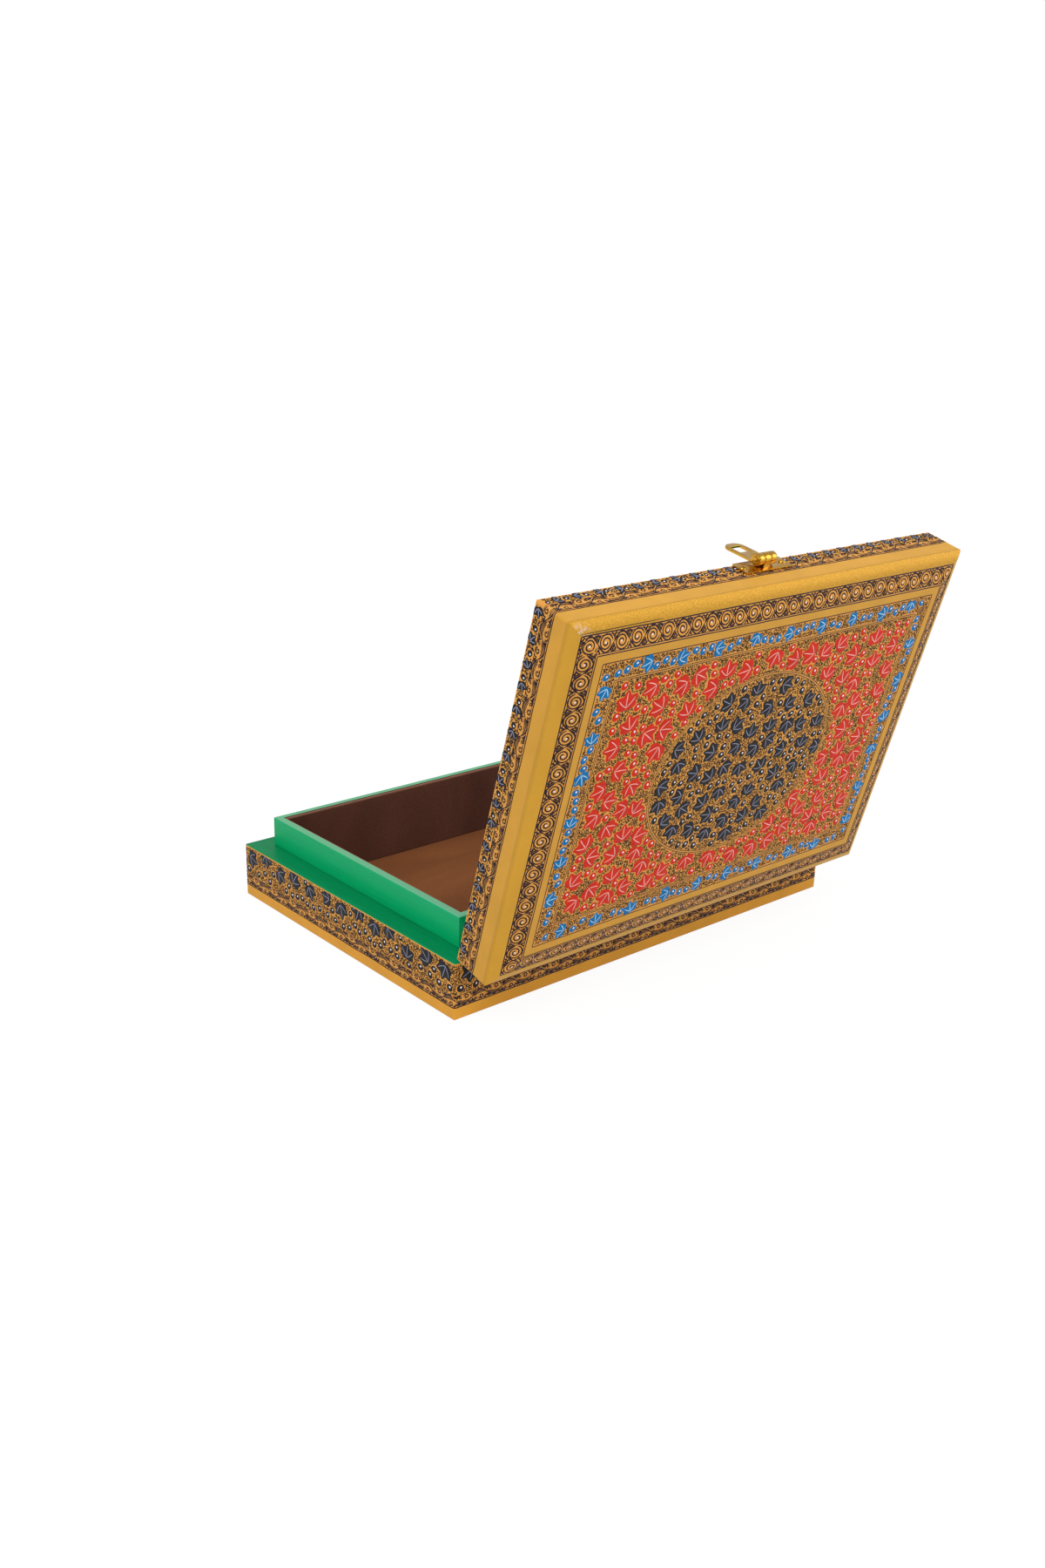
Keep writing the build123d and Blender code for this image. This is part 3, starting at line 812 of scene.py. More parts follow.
class Layout:
    """Leaves, berries and tendrils of one surface, each kept clear of the others by round spots."""

    def __init__(self, seed, inside, halo):
        self.random = random.Random(seed)
        self.inside = inside
        self.halo = halo
        self.leaves = []
        self.berries = []
        self.tendrils = []
        self.grid = {}

    def clear(self, x, y, reach):
        """Whether a round spot stays clear of what is placed."""
        column, row = int(x // GRID_CELL), int(y // GRID_CELL)
        return all(math.hypot(x - other_x, y - other_y) >= reach + other_reach
                   for i in (column - 1, column, column + 1) for j in (row - 1, row, row + 1)
                   for other_x, other_y, other_reach in self.grid.get((i, j), ()))

    def fill(self, x, y, reach):
        """Take a round spot."""
        self.grid.setdefault((int(x // GRID_CELL), int(y // GRID_CELL)), []).append((x, y, reach))

    def place_leaf(self, x, y, angle, size):
        """Place a leaf and take its spots."""
        self.leaves.append((x, y, angle, size))
        for spot in leaf_spots(x, y, angle, size):
            self.fill(*spot)

    def try_leaf(self, x, y, angle, size):
        """Place a leaf if its spots are clear, or overlap very little."""
        if all(self.clear(spot_x, spot_y, 0.95 * radius) and self.inside(spot_x, spot_y, radius)
               for spot_x, spot_y, radius in leaf_spots(x, y, angle, size)):
            self.place_leaf(x, y, angle, size)

    def try_berry(self, x, y, size):
        """Place a berry if its spot is clear."""
        if self.clear(x, y, 1.06 * size) and self.inside(x, y, size):
            self.berries.append((x, y, self.any_angle(), size))
            self.fill(x, y, size)

    def any_angle(self):
        """Random angle."""
        return self.random.uniform(-math.pi, math.pi)

    def thrown(self, box):
        """Random point of a box."""
        return self.random.uniform(box[0], box[2]), self.random.uniform(box[1], box[3])

    def scatter_leaves(self, box, size, apart, tries):
        """Add leaves one by one, each as near to the others as a handful of throws allows."""
        for _ in range(tries):
            spots = []
            for _ in range(THROWS_PER_LEAF):
                x, y = self.thrown(box)
                if self.inside(x, y, 0.4 * size):
                    gaps = (math.hypot(x - leaf[0], y - leaf[1]) for leaf in self.leaves)
                    nearest = min(gaps, default=apart)
                    if nearest >= apart:
                        spots.append((nearest, x, y))
            placed = len(self.leaves)
            for _, x, y in sorted(spots) * 2:
                if len(self.leaves) == placed:
                    self.try_leaf(x, y, self.any_angle(), size * self.random.uniform(0.95, 1.05))

    def scatter_berries(self, box, size, tries, most):
        """Throw berries into the room between the leaves, until there are enough."""
        for _ in range(tries):
            if len(self.berries) < most:
                self.try_berry(*self.thrown(box), size * self.random.uniform(0.9, 1.06))

    def scatter_tendrils(self, box, pitch):
        """Fill the rest with curls on a loose grid, then the gaps with ever smaller hooks."""
        for shapes, spacing, reach in TENDRIL_LAYERS:
            step, size = spacing * pitch, reach * pitch
            placed = []
            for i in range(round((box[2] - box[0]) / step)):
                for j in range(round((box[3] - box[1]) / step)):
                    x = box[0] + (i + self.random.uniform(0.3, 0.7)) * step
                    y = box[1] + (j + self.random.uniform(0.3, 0.7)) * step
                    if self.inside(x, y, 0.9 * size) and self.clear(x, y, 0.7 * size + self.halo):
                        placed.append((self.random.choice(shapes), x, y, self.any_angle(),
                                       size * self.random.uniform(0.9, 1.1)))
            for _, x, y, _, _ in placed:
                self.fill(x, y, 0.7 * size)
            self.tendrils += placed

    def tendril_strokes(self, width):
        """Strokes of the tendrils."""
        return [(moved(shape, *place), width) for shape, *place in self.tendrils]

    def vein_strokes(self, width):
        """Strokes of the leaves' veins."""
        return [stroke for leaf in self.leaves for stroke in leaf_veins(*leaf, width)]


# Pieces made from strokes and stamps

def brush_section(flatness):
    """Three-cornered section of a raised brush stroke of radius 1 mm."""
    curve = bpy.data.curves.new("brush_section", "CURVE")
    spline = curve.splines.new("POLY")
    spline.points.add(2)
    spline.points.foreach_set("co", (-MM, 0, 0, 1, MM, 0, 0, 1, 0, flatness * MM, 0, 1))
    spline.use_cyclic_u = True
    return new_piece("brush_section", curve)


def draw(name, strokes, surface, finish, out=0.0, band=None, flatness=0.4):
    """One painted piece of raised brush strokes, thinner at their ends, given as (points, width)."""
    section = brush_section(flatness)
    curve = bpy.data.curves.new("strokes", "CURVE")
    curve.dimensions = "3D"
    curve.twist_mode = "Z_UP"
    curve.bevel_mode = "OBJECT"
    curve.bevel_object = section
    curve.use_fill_caps = True
    for points, width in strokes:
        closed = points[0] == points[-1]
        points = points[:-1] if closed else points
        spline = curve.splines.new("POLY")
        spline.points.add(len(points) - 1)
        spline.points.foreach_set("co", [value for x, y in points for value in (x, y, 0.0, 1.0)])
        radii = [width / 2 / MM] * len(points)
        if not closed:
            radii[0] *= 0.5
            radii[-1] *= 0.5
        spline.points.foreach_set("radius", radii)
        spline.use_cyclic_u = closed
    choose(new_piece("strokes", curve))
    bpy.ops.object.convert(target="MESH")
    piece = join(name, [bpy.context.object])
    bpy.data.objects.remove(section)
    with editing(piece):
        bpy.ops.mesh.remove_doubles(threshold=0.001 * MM)
    piece.data.transform(Matrix.Translation((0, 0, out)))
    return lay_on(piece, surface, finish, band)


def draw_tendrils(name, layout, surface, width, finish):
    """Tendrils of a layout, in pieces of a few thousand."""
    strokes = layout.tendril_strokes(width)
    for number, start in enumerate(range(0, len(strokes), TENDRILS_IN_PIECE)):
        draw(name + "_tendrils_" + str(number + 1), strokes[start:start + TENDRILS_IN_PIECE], surface, finish)


def lay_on(piece, surface, finish, band):
    """Put a flat painted piece on its surface, cut off outside a band of heights if one is given."""
    if band is not None:
        crop(piece, (0, band[0], 0), (0, -1, 0))
        crop(piece, (0, band[1], 0), (0, 1, 0))
    surface.lay(piece.data)
    soften(piece, 30)
    return dress(piece, surface.body, finish)


def stamp(name, outline, thickness, rounding):
    """Flat drop of paint with an outline round the origin, a bevelled edge and its face up."""
    deselect()
    bpy.ops.mesh.primitive_circle_add(vertices=len(outline), radius=1, fill_type="NGON")
    piece = bpy.context.object
    piece.name = name
    for vertex, (x, y) in zip(piece.data.vertices, outline):
        vertex.co = (x, y, 0)
    with editing(piece):
        bpy.ops.mesh.extrude_region_move(TRANSFORM_OT_translate={"value": (0, 0, 0.55 * thickness)})
        bpy.ops.mesh.inset(thickness=rounding, depth=0.45 * thickness)
        bpy.ops.mesh.select_all(action="SELECT")
        bpy.ops.mesh.normals_make_consistent(inside=False)
    return piece


def stamp_piece(name, stamp_shape, places, surface, finish, band=None):
    """One painted piece made of copies of a stamp."""
    shape = bmesh.new()
    copy = stamp_shape.data.copy()
    for place in places:
        copy.transform(place)
        shape.from_mesh(copy)
        copy.transform(place.inverted())
    mesh = bpy.data.meshes.new(name)
    shape.to_mesh(mesh)
    shape.free()
    bpy.data.meshes.remove(copy)
    return lay_on(new_piece(name, mesh), surface, finish, band)


def leaf_stamp(thickness):
    """Leaf of unit size whose tip points along +X."""
    outline = [(VEINS_MEET + reach * math.cos(math.radians(angle)), reach * math.sin(math.radians(angle)))
               for angle, reach in LEAF_ROUND]
    return stamp("leaf_stamp", outline, thickness, 0.03)


def berry_stamp(thickness):
    """Berry of unit half length along +X."""
    outline = [(math.cos(math.tau * i / 12), 0.86 * math.sin(math.tau * i / 12)) for i in range(12)]
    return stamp("berry_stamp", outline, thickness, 0.14)


def paint_layout(name, layout, surface, motifs, shades, band=None):
    """Leaves, veins, berries and glints of one layout, as one piece of each, in their three colours."""
    if not layout.leaves or not layout.berries:
        raise RuntimeError("No room for the leaves of " + name)
    leaf_colour, vein_colour, glint_colour = shades
    finish = paint(name + "_paint", leaf_colour)
    leaf, berry = leaf_stamp(motifs.thickness), berry_stamp(motifs.thickness)
    for kind, shape, spots in (("_leaves", leaf, layout.leaves), ("_berries", berry, layout.berries)):
        places = [stamp_at(x, y, 0, angle, size) for x, y, angle, size in spots]
        stamp_piece(name + kind, shape, places, surface, finish, band)
    places = [stamp_at(x + 0.12 * size, y + 0.2 * size, 0.8 * motifs.thickness, angle, 0.29 * size)
              for x, y, angle, size in layout.berries]
    stamp_piece(name + "_glints", berry, places, surface, paint(name + "_glint", glint_colour), band)
    draw(name + "_veins", layout.vein_strokes(motifs.vein), surface, paint(name + "_vein_paint", vein_colour),
         motifs.thickness, band, 0.2)
    bpy.data.objects.remove(leaf)
    bpy.data.objects.remove(berry)


# Bands and lines

def unsteady_rectangle(half_x, half_y, seed):
    """Closed line round a rectangle with slightly rounded corners, drawn by an unsteady hand."""
    hand = random.Random(seed)
    bend, steps, wobble = 0.4 * MM, 40, 0.05 * MM
    corners = ((1, -1), (1, 1), (-1, 1), (-1, -1))
    points = []
    for number, (cx, cy) in enumerate(corners):
        centre_x, centre_y = cx * (half_x - bend), cy * (half_y - bend)
        points += arc(centre_x, centre_y, bend, bend, 90 * number - 90, 90 * number, 3)
        nx, ny = corners[(number + 1) % 4]
        end = (nx * (half_x - bend), ny * half_y) if number % 2 else (nx * half_x, ny * (half_y - bend))
        start = points[-1]
        drift = 0.0
        for i in range(1, steps):
            t = i / steps
            drift = 0.7 * drift + hand.uniform(-wobble, wobble)
            x, y = start[0] + (end[0] - start[0]) * t, start[1] + (end[1] - start[1]) * t
            points.append((x, y + drift) if number % 2 else (x + drift, y))
    return points + [points[0]]


def oval_line(half_x, half_y, steps=120):
    """Closed line round an oval."""
    angles = [math.tau * i / steps for i in range(steps)]
    points = [(half_x * math.cos(angle), half_y * math.sin(angle)) for angle in angles]
    return points + [points[0]]


def scroll_middles(start, end, pitch):
    """Middle of each scroll unit, which way up it is, and its length."""
    count = max(2, 2 * round((end - start) / pitch / 2))
    step = (end - start) / count
    return [(start + (i + 0.5) * step, 1 if i % 2 == 0 else -1, step) for i in range(count)]


def scroll_strokes(unit, start, end, height, pitch, width, place):
    """Repeat a scroll unit from start to end, every other one upside down, through a placing function."""
    return [(place(moved(points, middle, 0, flip=flip)), thick)
            for middle, flip, step in scroll_middles(start, end, pitch)
            for points, thick in unit(step, height, width)]


def wall_scroll(surface, low, high, motifs):
    """Strokes of a narrow scroll band all round the walls."""
    middle = (low + high) / 2

    def place(points):
        return [(x, y + middle) for x, y in points]

    return scroll_strokes(curl, 0.0, surface.around, high - low, motifs.wall_pitch, motifs.line, place)


def four_sides(half_x, half_y):
    """Half length, distance from the middle and turn of each side of a rectangle."""
    for turn in range(4):
        halves = (half_y, half_x) if turn % 2 else (half_x, half_y)
        yield (*halves, turn * math.pi / 2)


def base_walls(bands):
    """Outside of the base's walls."""
    return Walls("base", 0.0, Matrix.Identity(4), bands.corner)


def lid_walls(bands):
    """Outside of the lid's walls, with the lid open."""
    return Walls("lid", RIM, OPENED, bands.corner)


# Soft pieces

def lining(side):
    """Velvet on a thin board: its face swells a little and its edges are rolled over."""
    low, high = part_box("lining_" + side)
    size, middle = high - low, (low + high) / 2
    piece = block("velvet_lining_" + side, low, high)
    axis, run = (1, 0) if side in ("front", "back") else (0, 1)
    face_side = math.copysign(1, -middle[axis])
    thickness, roll_depth, swell = size[axis], 0.45 * MM, 0.08 * MM
    for vertex in piece.data.vertices:
        if (vertex.co[axis] - middle[axis]) * face_side > 0:
            vertex.co[run] -= math.copysign(thickness, vertex.co[run] - middle[run])
    with editing(piece):
        bpy.ops.mesh.subdivide(number_cuts=24)
    hand = random.Random(piece.name)
    waves = [(hand.uniform(20, 60), hand.uniform(0, 6)) for _ in range(3)]
    for vertex in piece.data.vertices:
        across = (vertex.co[axis] - middle[axis]) / thickness * face_side + 0.5
        run_share = abs(vertex.co[run] - middle[run]) / (size[run] / 2)
        up_share = abs(vertex.co.z - middle.z) / (size.z / 2)
        dip = (0.5 * up_share ** 8 if vertex.co.z > middle.z else 0) + 0.35 * run_share ** 30
        ripple = sum(math.sin(rate * vertex.co[run] + start + 30 * vertex.co.z) for rate, start in waves) / 3
        vertex.co[axis] -= face_side * across * (roll_depth * dip + swell * (1 + ripple))
    soften(piece, 40)
    return piece


def pad(name, low, high, up):
    """Thin pad with a soft crown and rounded edges, whose face is up (1) or down (-1)."""
    size, middle = high - low, (low + high) / 2
    roll_width, roll_depth, swell = 6 * MM, 0.3 * MM, 0.12 * MM
    piece = block(name, low, high)
    with editing(piece):
        bpy.ops.mesh.subdivide(number_cuts=40)
    hand = random.Random(name)
    waves = [(hand.uniform(15, 70), hand.uniform(15, 70), hand.uniform(0, 6)) for _ in range(5)]
    for vertex in piece.data.vertices:
        across = (vertex.co.z - middle.z) / size.z * up + 0.5
        edge = min(size[i] / 2 - abs(vertex.co[i] - middle[i]) for i in (0, 1))
        roll = max(0.0, 1 - edge / roll_width) ** 3
        ripple = sum(math.sin(a * vertex.co.x + b * vertex.co.y + c) for a, b, c in waves) / 5
        vertex.co.z -= up * across * (roll_depth * roll + swell * (1 + ripple))
    soften(piece, 40)
    return piece


# Brass pieces

def softened(node, radius):
    """Copy of a stamped brass node with its edges rounded."""
    piece = new_piece("soft_" + node, frame["nodes"][node].data.copy())
    with editing(piece):
        bpy.ops.mesh.remove_doubles(threshold=0.002 * MM)
        bpy.ops.mesh.dissolve_limited(angle_limit=math.radians(1))
    bevel = piece.modifiers.new("edges", "BEVEL")
    bevel.width = radius
    bevel.segments = 2
    bevel.limit_method = "ANGLE"
    bevel.angle_limit = math.radians(50)
    apply_modifiers(piece)
    soften(piece, 30)
    return piece


def loose_parts(node):
    """Vertex positions of each separate solid of a node."""
    shape = bmesh.new()
    shape.from_mesh(frame["nodes"][node].data)
    bmesh.ops.remove_doubles(shape, verts=shape.verts, dist=0.002 * MM)
    left = set(shape.verts)
    parts = []
    while left:
        stack = [left.pop()]
        part = []
        while stack:
            vertex = stack.pop()
            part.append(vertex.co.copy())
            for edge in vertex.link_edges:
                other = edge.other_vert(vertex)
                if other in left:
                    left.remove(other)
                    stack.append(other)
        parts.append(part)
    shape.free()
    return parts


def domed_screws(node, turn):
    """Domed slotted screws where the node's plain ones are, each driven in along the face's normal."""
    screws = []
    back = turn.inverted()
    for number, part in enumerate(loose_parts(node)):
        low, high = extent([back @ point for point in part])
        outward = math.copysign(1, (low.y + high.y) / 2)
        head_y = high.y if outward > 0 else low.y
        place = turn @ Matrix.Translation(((low.x + high.x) / 2, head_y, (low.z + high.z) / 2))
        place = place @ Matrix.Rotation(-outward * math.pi / 2, 4, "X")
        screws.append(screw_shape((high.x - low.x) / 2, high.y - low.y, 0.5 + 0.8 * number))
        screws[-1].data.transform(place)
    return join("domed_" + node, screws)


def screw_shape(head_radius, full_length, slot_turn):
    """Domed slotted screw whose head's top is at the origin and whose point is down -Z."""
    head, slot_width, slot_depth, tip_share = 0.6 * MM, 0.4 * MM, 0.3 * MM, 0.15
    deselect()
    bpy.ops.mesh.primitive_uv_sphere_add(segments=24, ring_count=12, radius=head_radius)
    dome = bpy.context.object
    dome.data.transform(Matrix.Diagonal((1, 1, head / head_radius, 1)))
    crop(dome, (0, 0, 0), (0, 0, -1))
    dome.data.transform(Matrix.Translation((0, 0, -head)))
    bpy.ops.mesh.primitive_cylinder_add(vertices=16, radius=0.53 * head_radius, depth=full_length - head)
    shank = bpy.context.object
    shank.data.transform(Matrix.Translation((0, 0, -(full_length + head) / 2 - 0.01 * MM)))
    for vertex in shank.data.vertices:
        if vertex.co.z < -full_length:
            vertex.co = (tip_share * vertex.co.x, tip_share * vertex.co.y, -full_length)
    bpy.ops.mesh.primitive_cube_add(size=1, scale=(3 * head_radius, slot_width, 2 * slot_depth))
    cutter = bpy.context.object
    settle(cutter)
    cutter.data.transform(Matrix.Rotation(slot_turn, 4, "Z"))
    slot = dome.modifiers.new("slot", "BOOLEAN")
    slot.operation = "DIFFERENCE"
    slot.object = cutter
    apply_modifiers(dome)
    bpy.data.objects.remove(cutter)
    screw = join("screw", [dome, shank])
    settle(screw)
    soften(screw, 35)
    return screw


# Operators

def settings(context):
    """Sizes of the bands, sizes of the motifs and colours."""
    return context.scene.box_bands, context.scene.box_motifs, context.scene.box_colours


class PAINTEDBOX_OT_grounds(Operator):
    """Paint the wooden walls and the lid's panel in ochre, gold and green"""
    bl_idname = "painted_box.grounds"
    bl_label = "Grounds"

    def execute(self, context):
        bands, _, colours = settings(context)
        nodes = frame["nodes"]
        finishes = {axis: base_ground("base_ground_" + axis, axis, bands, colours) for axis in "XY"}
        lid_finish = lid_ground("lid_ground", bands, colours)
        for side, axis in zip(SIDES, "XYXY"):
            paint_over(nodes["base_" + side + "_wall"], finishes[axis])
            paint_over(nodes["lid_" + side + "_wall"], lid_finish)
        paint_over(nodes["lid_panel"], lid_finish)
        paint_over(nodes["base_panel"], finishes["X"])
        return {"FINISHED"}


class PAINTEDBOX_OT_lip(Operator):
    """Brush green enamel on the raised lip"""
    bl_idname = "painted_box.lip"
    bl_label = "Green lip"

    def execute(self, context):
        colours = context.scene.box_colours
        finishes = {axis: enamel("green_enamel_" + axis, axis, colours) for axis in "XY"}
        for side, axis in zip(SIDES, "XYXY"):
            paint_over(frame["nodes"]["lip_" + side], finishes[axis])
        return {"FINISHED"}


class PAINTEDBOX_OT_linings(Operator):
    """Line the base with velvet and lay the suede floor pad and the lid's pad"""
    bl_idname = "painted_box.linings"
    bl_label = "Linings"

    def execute(self, context):
        colours = context.scene.box_colours
        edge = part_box("lining_front")[1].z
        wall_velvet = cloth("brown_velvet", colours.velvet, 2200.0, (1, 1, 0.4), edge, colours.worn_velvet)
        lid_velvet = cloth("brown_lid_velvet", colours.velvet, 2200.0, (0.4, 1, 1))
        suede = cloth("brown_suede", colours.suede, 1700.0, (0.25, 1, 1))
        for side in SIDES:
            self.cover(lining(side), "base", wall_velvet, "lining_" + side, 0.9)
        floor = pad("suede_floor", *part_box("floor_pad"), up=1)
        self.cover(floor, "base", suede, "floor_pad", 0.8)
        lid_lining = pad("velvet_lid_lining", *closed_box("lid_pad"), up=-1)
        lid_lining.data.transform(OPENED)
        self.cover(lid_lining, "lid", lid_velvet, "lid_pad", 0.8)
        return {"FINISHED"}

    def cover(self, piece, body, finish, node, fill):
        """Let a padded piece stand for a CAD node."""
        dress(piece, body, finish)
        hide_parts(node)


class PAINTEDBOX_OT_border_lines(Operator):
    """Draw the dark lines between the painted bands"""
    bl_idname = "painted_box.border_lines"
    bl_label = "Border lines"

    def execute(self, context):
        bands, motifs, colours = settings(context)
        ink = paint("border_ink", colours.ink)
        thick, thin = motifs.border_line, 0.65 * motifs.border_line
        base_rings = ((bands.foot_band, 1.1 * thick), (bands.foot_band + 1.0 * MM, thin),
                      (bands.base_scroll, thin))
        lid_rings = ((bands.lid_leaves, thin), (bands.lid_scroll - 0.75 * MM, 0.8 * thin),
                     (bands.lid_scroll, thick))
        for walls, rings in ((base_walls(bands), base_rings), (lid_walls(bands), lid_rings)):
            lines = [(walls.ring_line(height, number), width) for number, (height, width) in enumerate(rings)]
            draw(walls.body + "_border_lines", lines, walls, ink)
        insets = (
            (bands.scroll + 0.3 * MM, thick),
            (bands.scroll + 1.2 * MM, thin),
            (bands.plain - 0.65 * MM, thin),
            (bands.plain + 0.1 * MM, 0.95 * thick),
            (bands.border, 0.85 * thick),
            (bands.field - 0.4 * MM, thin),
            (bands.field + 0.4 * MM, thin),
        )
        lines = [(unsteady_rectangle(HALF_LENGTH - inset, HALF_WIDTH - inset, number), width)
                 for number, (inset, width) in enumerate(insets)]
        for grow in (0, 0.9 * MM):
            lines.append((oval_line(bands.oval_length + grow, bands.oval_width + grow), thin))
        top = Top(bands)
        draw("top_border_lines", lines, top, ink)
        start_x, start_y, run, drift = 4.6 * MM - HALF_LENGTH, HALF_WIDTH - 4.55 * MM, 41 * MM, 0.25 * MM
        stray = [(start_x + run * i / 5, start_y + drift * i / 5) for i in range(6)]
        draw("stray_line", [(stray, 0.8 * thin)], top, ink, 0.12 * MM)
        return {"FINISHED"}


class PAINTEDBOX_OT_scrolls(Operator):
    """Draw the scroll bands on the walls and round the lid's top"""
    bl_idname = "painted_box.scrolls"
    bl_label = "Scroll bands"

    def execute(self, context):
        bands, motifs, colours = settings(context)
        ink = paint("scroll_ink", colours.ink)
        base, lid, top = base_walls(bands), lid_walls(bands), Top(bands)
        strokes = wall_scroll(base, bands.foot_band + 0.4 * MM, bands.base_scroll - 0.2 * MM, motifs)
        draw("base_scrolls", strokes, base, ink)
        strokes = wall_scroll(lid, bands.lid_leaves + 0.1 * MM, bands.lid_scroll - 0.5 * MM, motifs)
        draw("lid_wall_scrolls", strokes, lid, ink)
        low, high = bands.scroll + 0.6 * MM, bands.plain - 0.6 * MM
        strokes, spots = [], []
        for number, (half_along, half_across, angle) in enumerate(four_sides(HALF_LENGTH, HALF_WIDTH)):
            end = half_along - (high if number % 2 else low)
            across = half_across - (low + high) / 2

            def place(points, angle=angle, across=across):
                return moved([(x, y - across) for x, y in points], 0, 0, angle)

            strokes += scroll_strokes(rosette, -end, end, high - low, motifs.top_pitch, motifs.line, place)
            for x, flip, _ in scroll_middles(-end, end, motifs.top_pitch):
                spots.append(place([(x + 0.1 * MM, -0.03 * (high - low) * flip)])[0])
        draw("lid_top_scrolls", strokes, top, ink)
        berry = berry_stamp(motifs.thickness)
        places = [stamp_at(x, y, 0, 0.6, 0.42 * MM) for x, y in spots]
        stamp_piece("rosette_spots", berry, places, top, paint("rosette_spot", colours.glint))
        bpy.data.objects.remove(berry)
        return {"FINISHED"}


class PAINTEDBOX_OT_top_field(Operator):
    """Paint the lid's top: blue border, red field and black oval, with their tendrils"""
    bl_idname = "painted_box.top_field"
    bl_label = "Top field"

    def execute(self, context):
        bands, motifs, colours = settings(context)
        field_x, field_y = HALF_LENGTH - bands.field, HALF_WIDTH - bands.field
        border_x, border_y = HALF_LENGTH - bands.border, HALF_WIDTH - bands.border

        def oval(x, y, grow):
            return (x / (bands.oval_length + grow)) ** 2 + (y / (bands.oval_width + grow)) ** 2

        def within(x, y, half_x, half_y, room):
            return abs(x) < half_x - room and abs(y) < half_y - room

        def in_field(x, y, room):
            return within(x, y, field_x, field_y, room + 0.5 * MM) and oval(x, y, room + 1.1 * MM) > 1

        def in_oval(x, y, room):
            return oval(x, y, -room - 0.15 * MM) < 1

        def in_border(x, y, room):
            return (within(x, y, border_x, border_y, room + 0.4 * MM)
                    and not within(x, y, field_x, field_y, -0.7 * MM - room))

        red = Layout(motifs.seed, in_field, motifs.halo)
        box = (-field_x, -field_y, field_x, field_y)
        red.scatter_leaves(box, motifs.red_leaf, 1.22 * motifs.red_leaf, motifs.red_leaves)
        red.scatter_berries(box, motifs.berry, BERRY_THROWS, motifs.red_berries)
        red.scatter_tendrils(box, motifs.tendril_pitch)
        black = Layout(motifs.seed + 1, in_oval, motifs.halo)
        box = (-bands.oval_length, -bands.oval_width, bands.oval_length, bands.oval_width)
        black.scatter_leaves(box, motifs.oval_leaf, 1.4 * motifs.oval_leaf, motifs.oval_leaves)
        black.scatter_berries(box, 0.92 * motifs.berry, BERRY_THROWS, motifs.oval_berries)
        black.scatter_tendrils(box, motifs.tendril_pitch)
        blue = self.border(motifs, bands.field - bands.border, in_border, border_x, border_y)
        ink = paint("top_tendril_ink", colours.tendril_ink)
        layouts = {
            "top_red": (red, (colours.red, colours.red_vein, colours.glint)),
            "top_black": (black, (colours.black, colours.black_vein, colours.glint)),
            "top_blue": (blue, (colours.blue, colours.blue_vein, colours.glint)),
        }
        top = Top(bands)
        for name, (layout, shades) in layouts.items():
            draw_tendrils(name, layout, top, motifs.tendril, ink)
            paint_layout(name, layout, top, motifs, shades)
        return {"FINISHED"}

    def border(self, motifs, wide, inside, border_x, border_y):
        """Blue border: leaves along it with two or three berries between, and two near each corner."""
        layout = Layout(motifs.seed + 2, inside, motifs.halo)
        hand = layout.random
        middle, berry_gap = wide / 2 - 0.2 * MM, 0.22
        for half_along, half_across, angle in four_sides(border_x, border_y):
            start, end = wide - half_along, half_along - wide
            count = round((end - start) / motifs.border_pitch)
            step = (end - start) / count
            for i in range(count):
                x, y = start + (i + 0.25) * step, middle - half_across
                point = moved([(x, y + hand.uniform(-0.2, 0.2) * MM)], 0, 0, angle)[0]
                lean = hand.choice((0, 0, math.pi, math.pi, math.pi / 2)) + hand.uniform(-0.4, 0.4)
                layout.place_leaf(*point, angle + lean, motifs.border_leaf * hand.uniform(0.93, 1.03))
                number = hand.choice((3, 3, 2))
                for k in range(number):
                    along = x + (0.5 + berry_gap * (k - (number - 1) / 2)) * step
                    spot = moved([(along, y + hand.uniform(-1.6, 1.6) * MM)], 0, 0, angle)[0]
                    layout.try_berry(*spot, 0.92 * motifs.berry)
            for from_end, from_side in ((2.0 * MM, 4.6 * MM), (6.0 * MM, 3.2 * MM)):
                spot = moved([(from_end - half_along, from_side - half_across)], 0, 0, angle)[0]
                layout.try_berry(*spot, 0.85 * motifs.berry)
        layout.scatter_tendrils((-border_x, -border_y, border_x, border_y), motifs.tendril_pitch)
        return layout


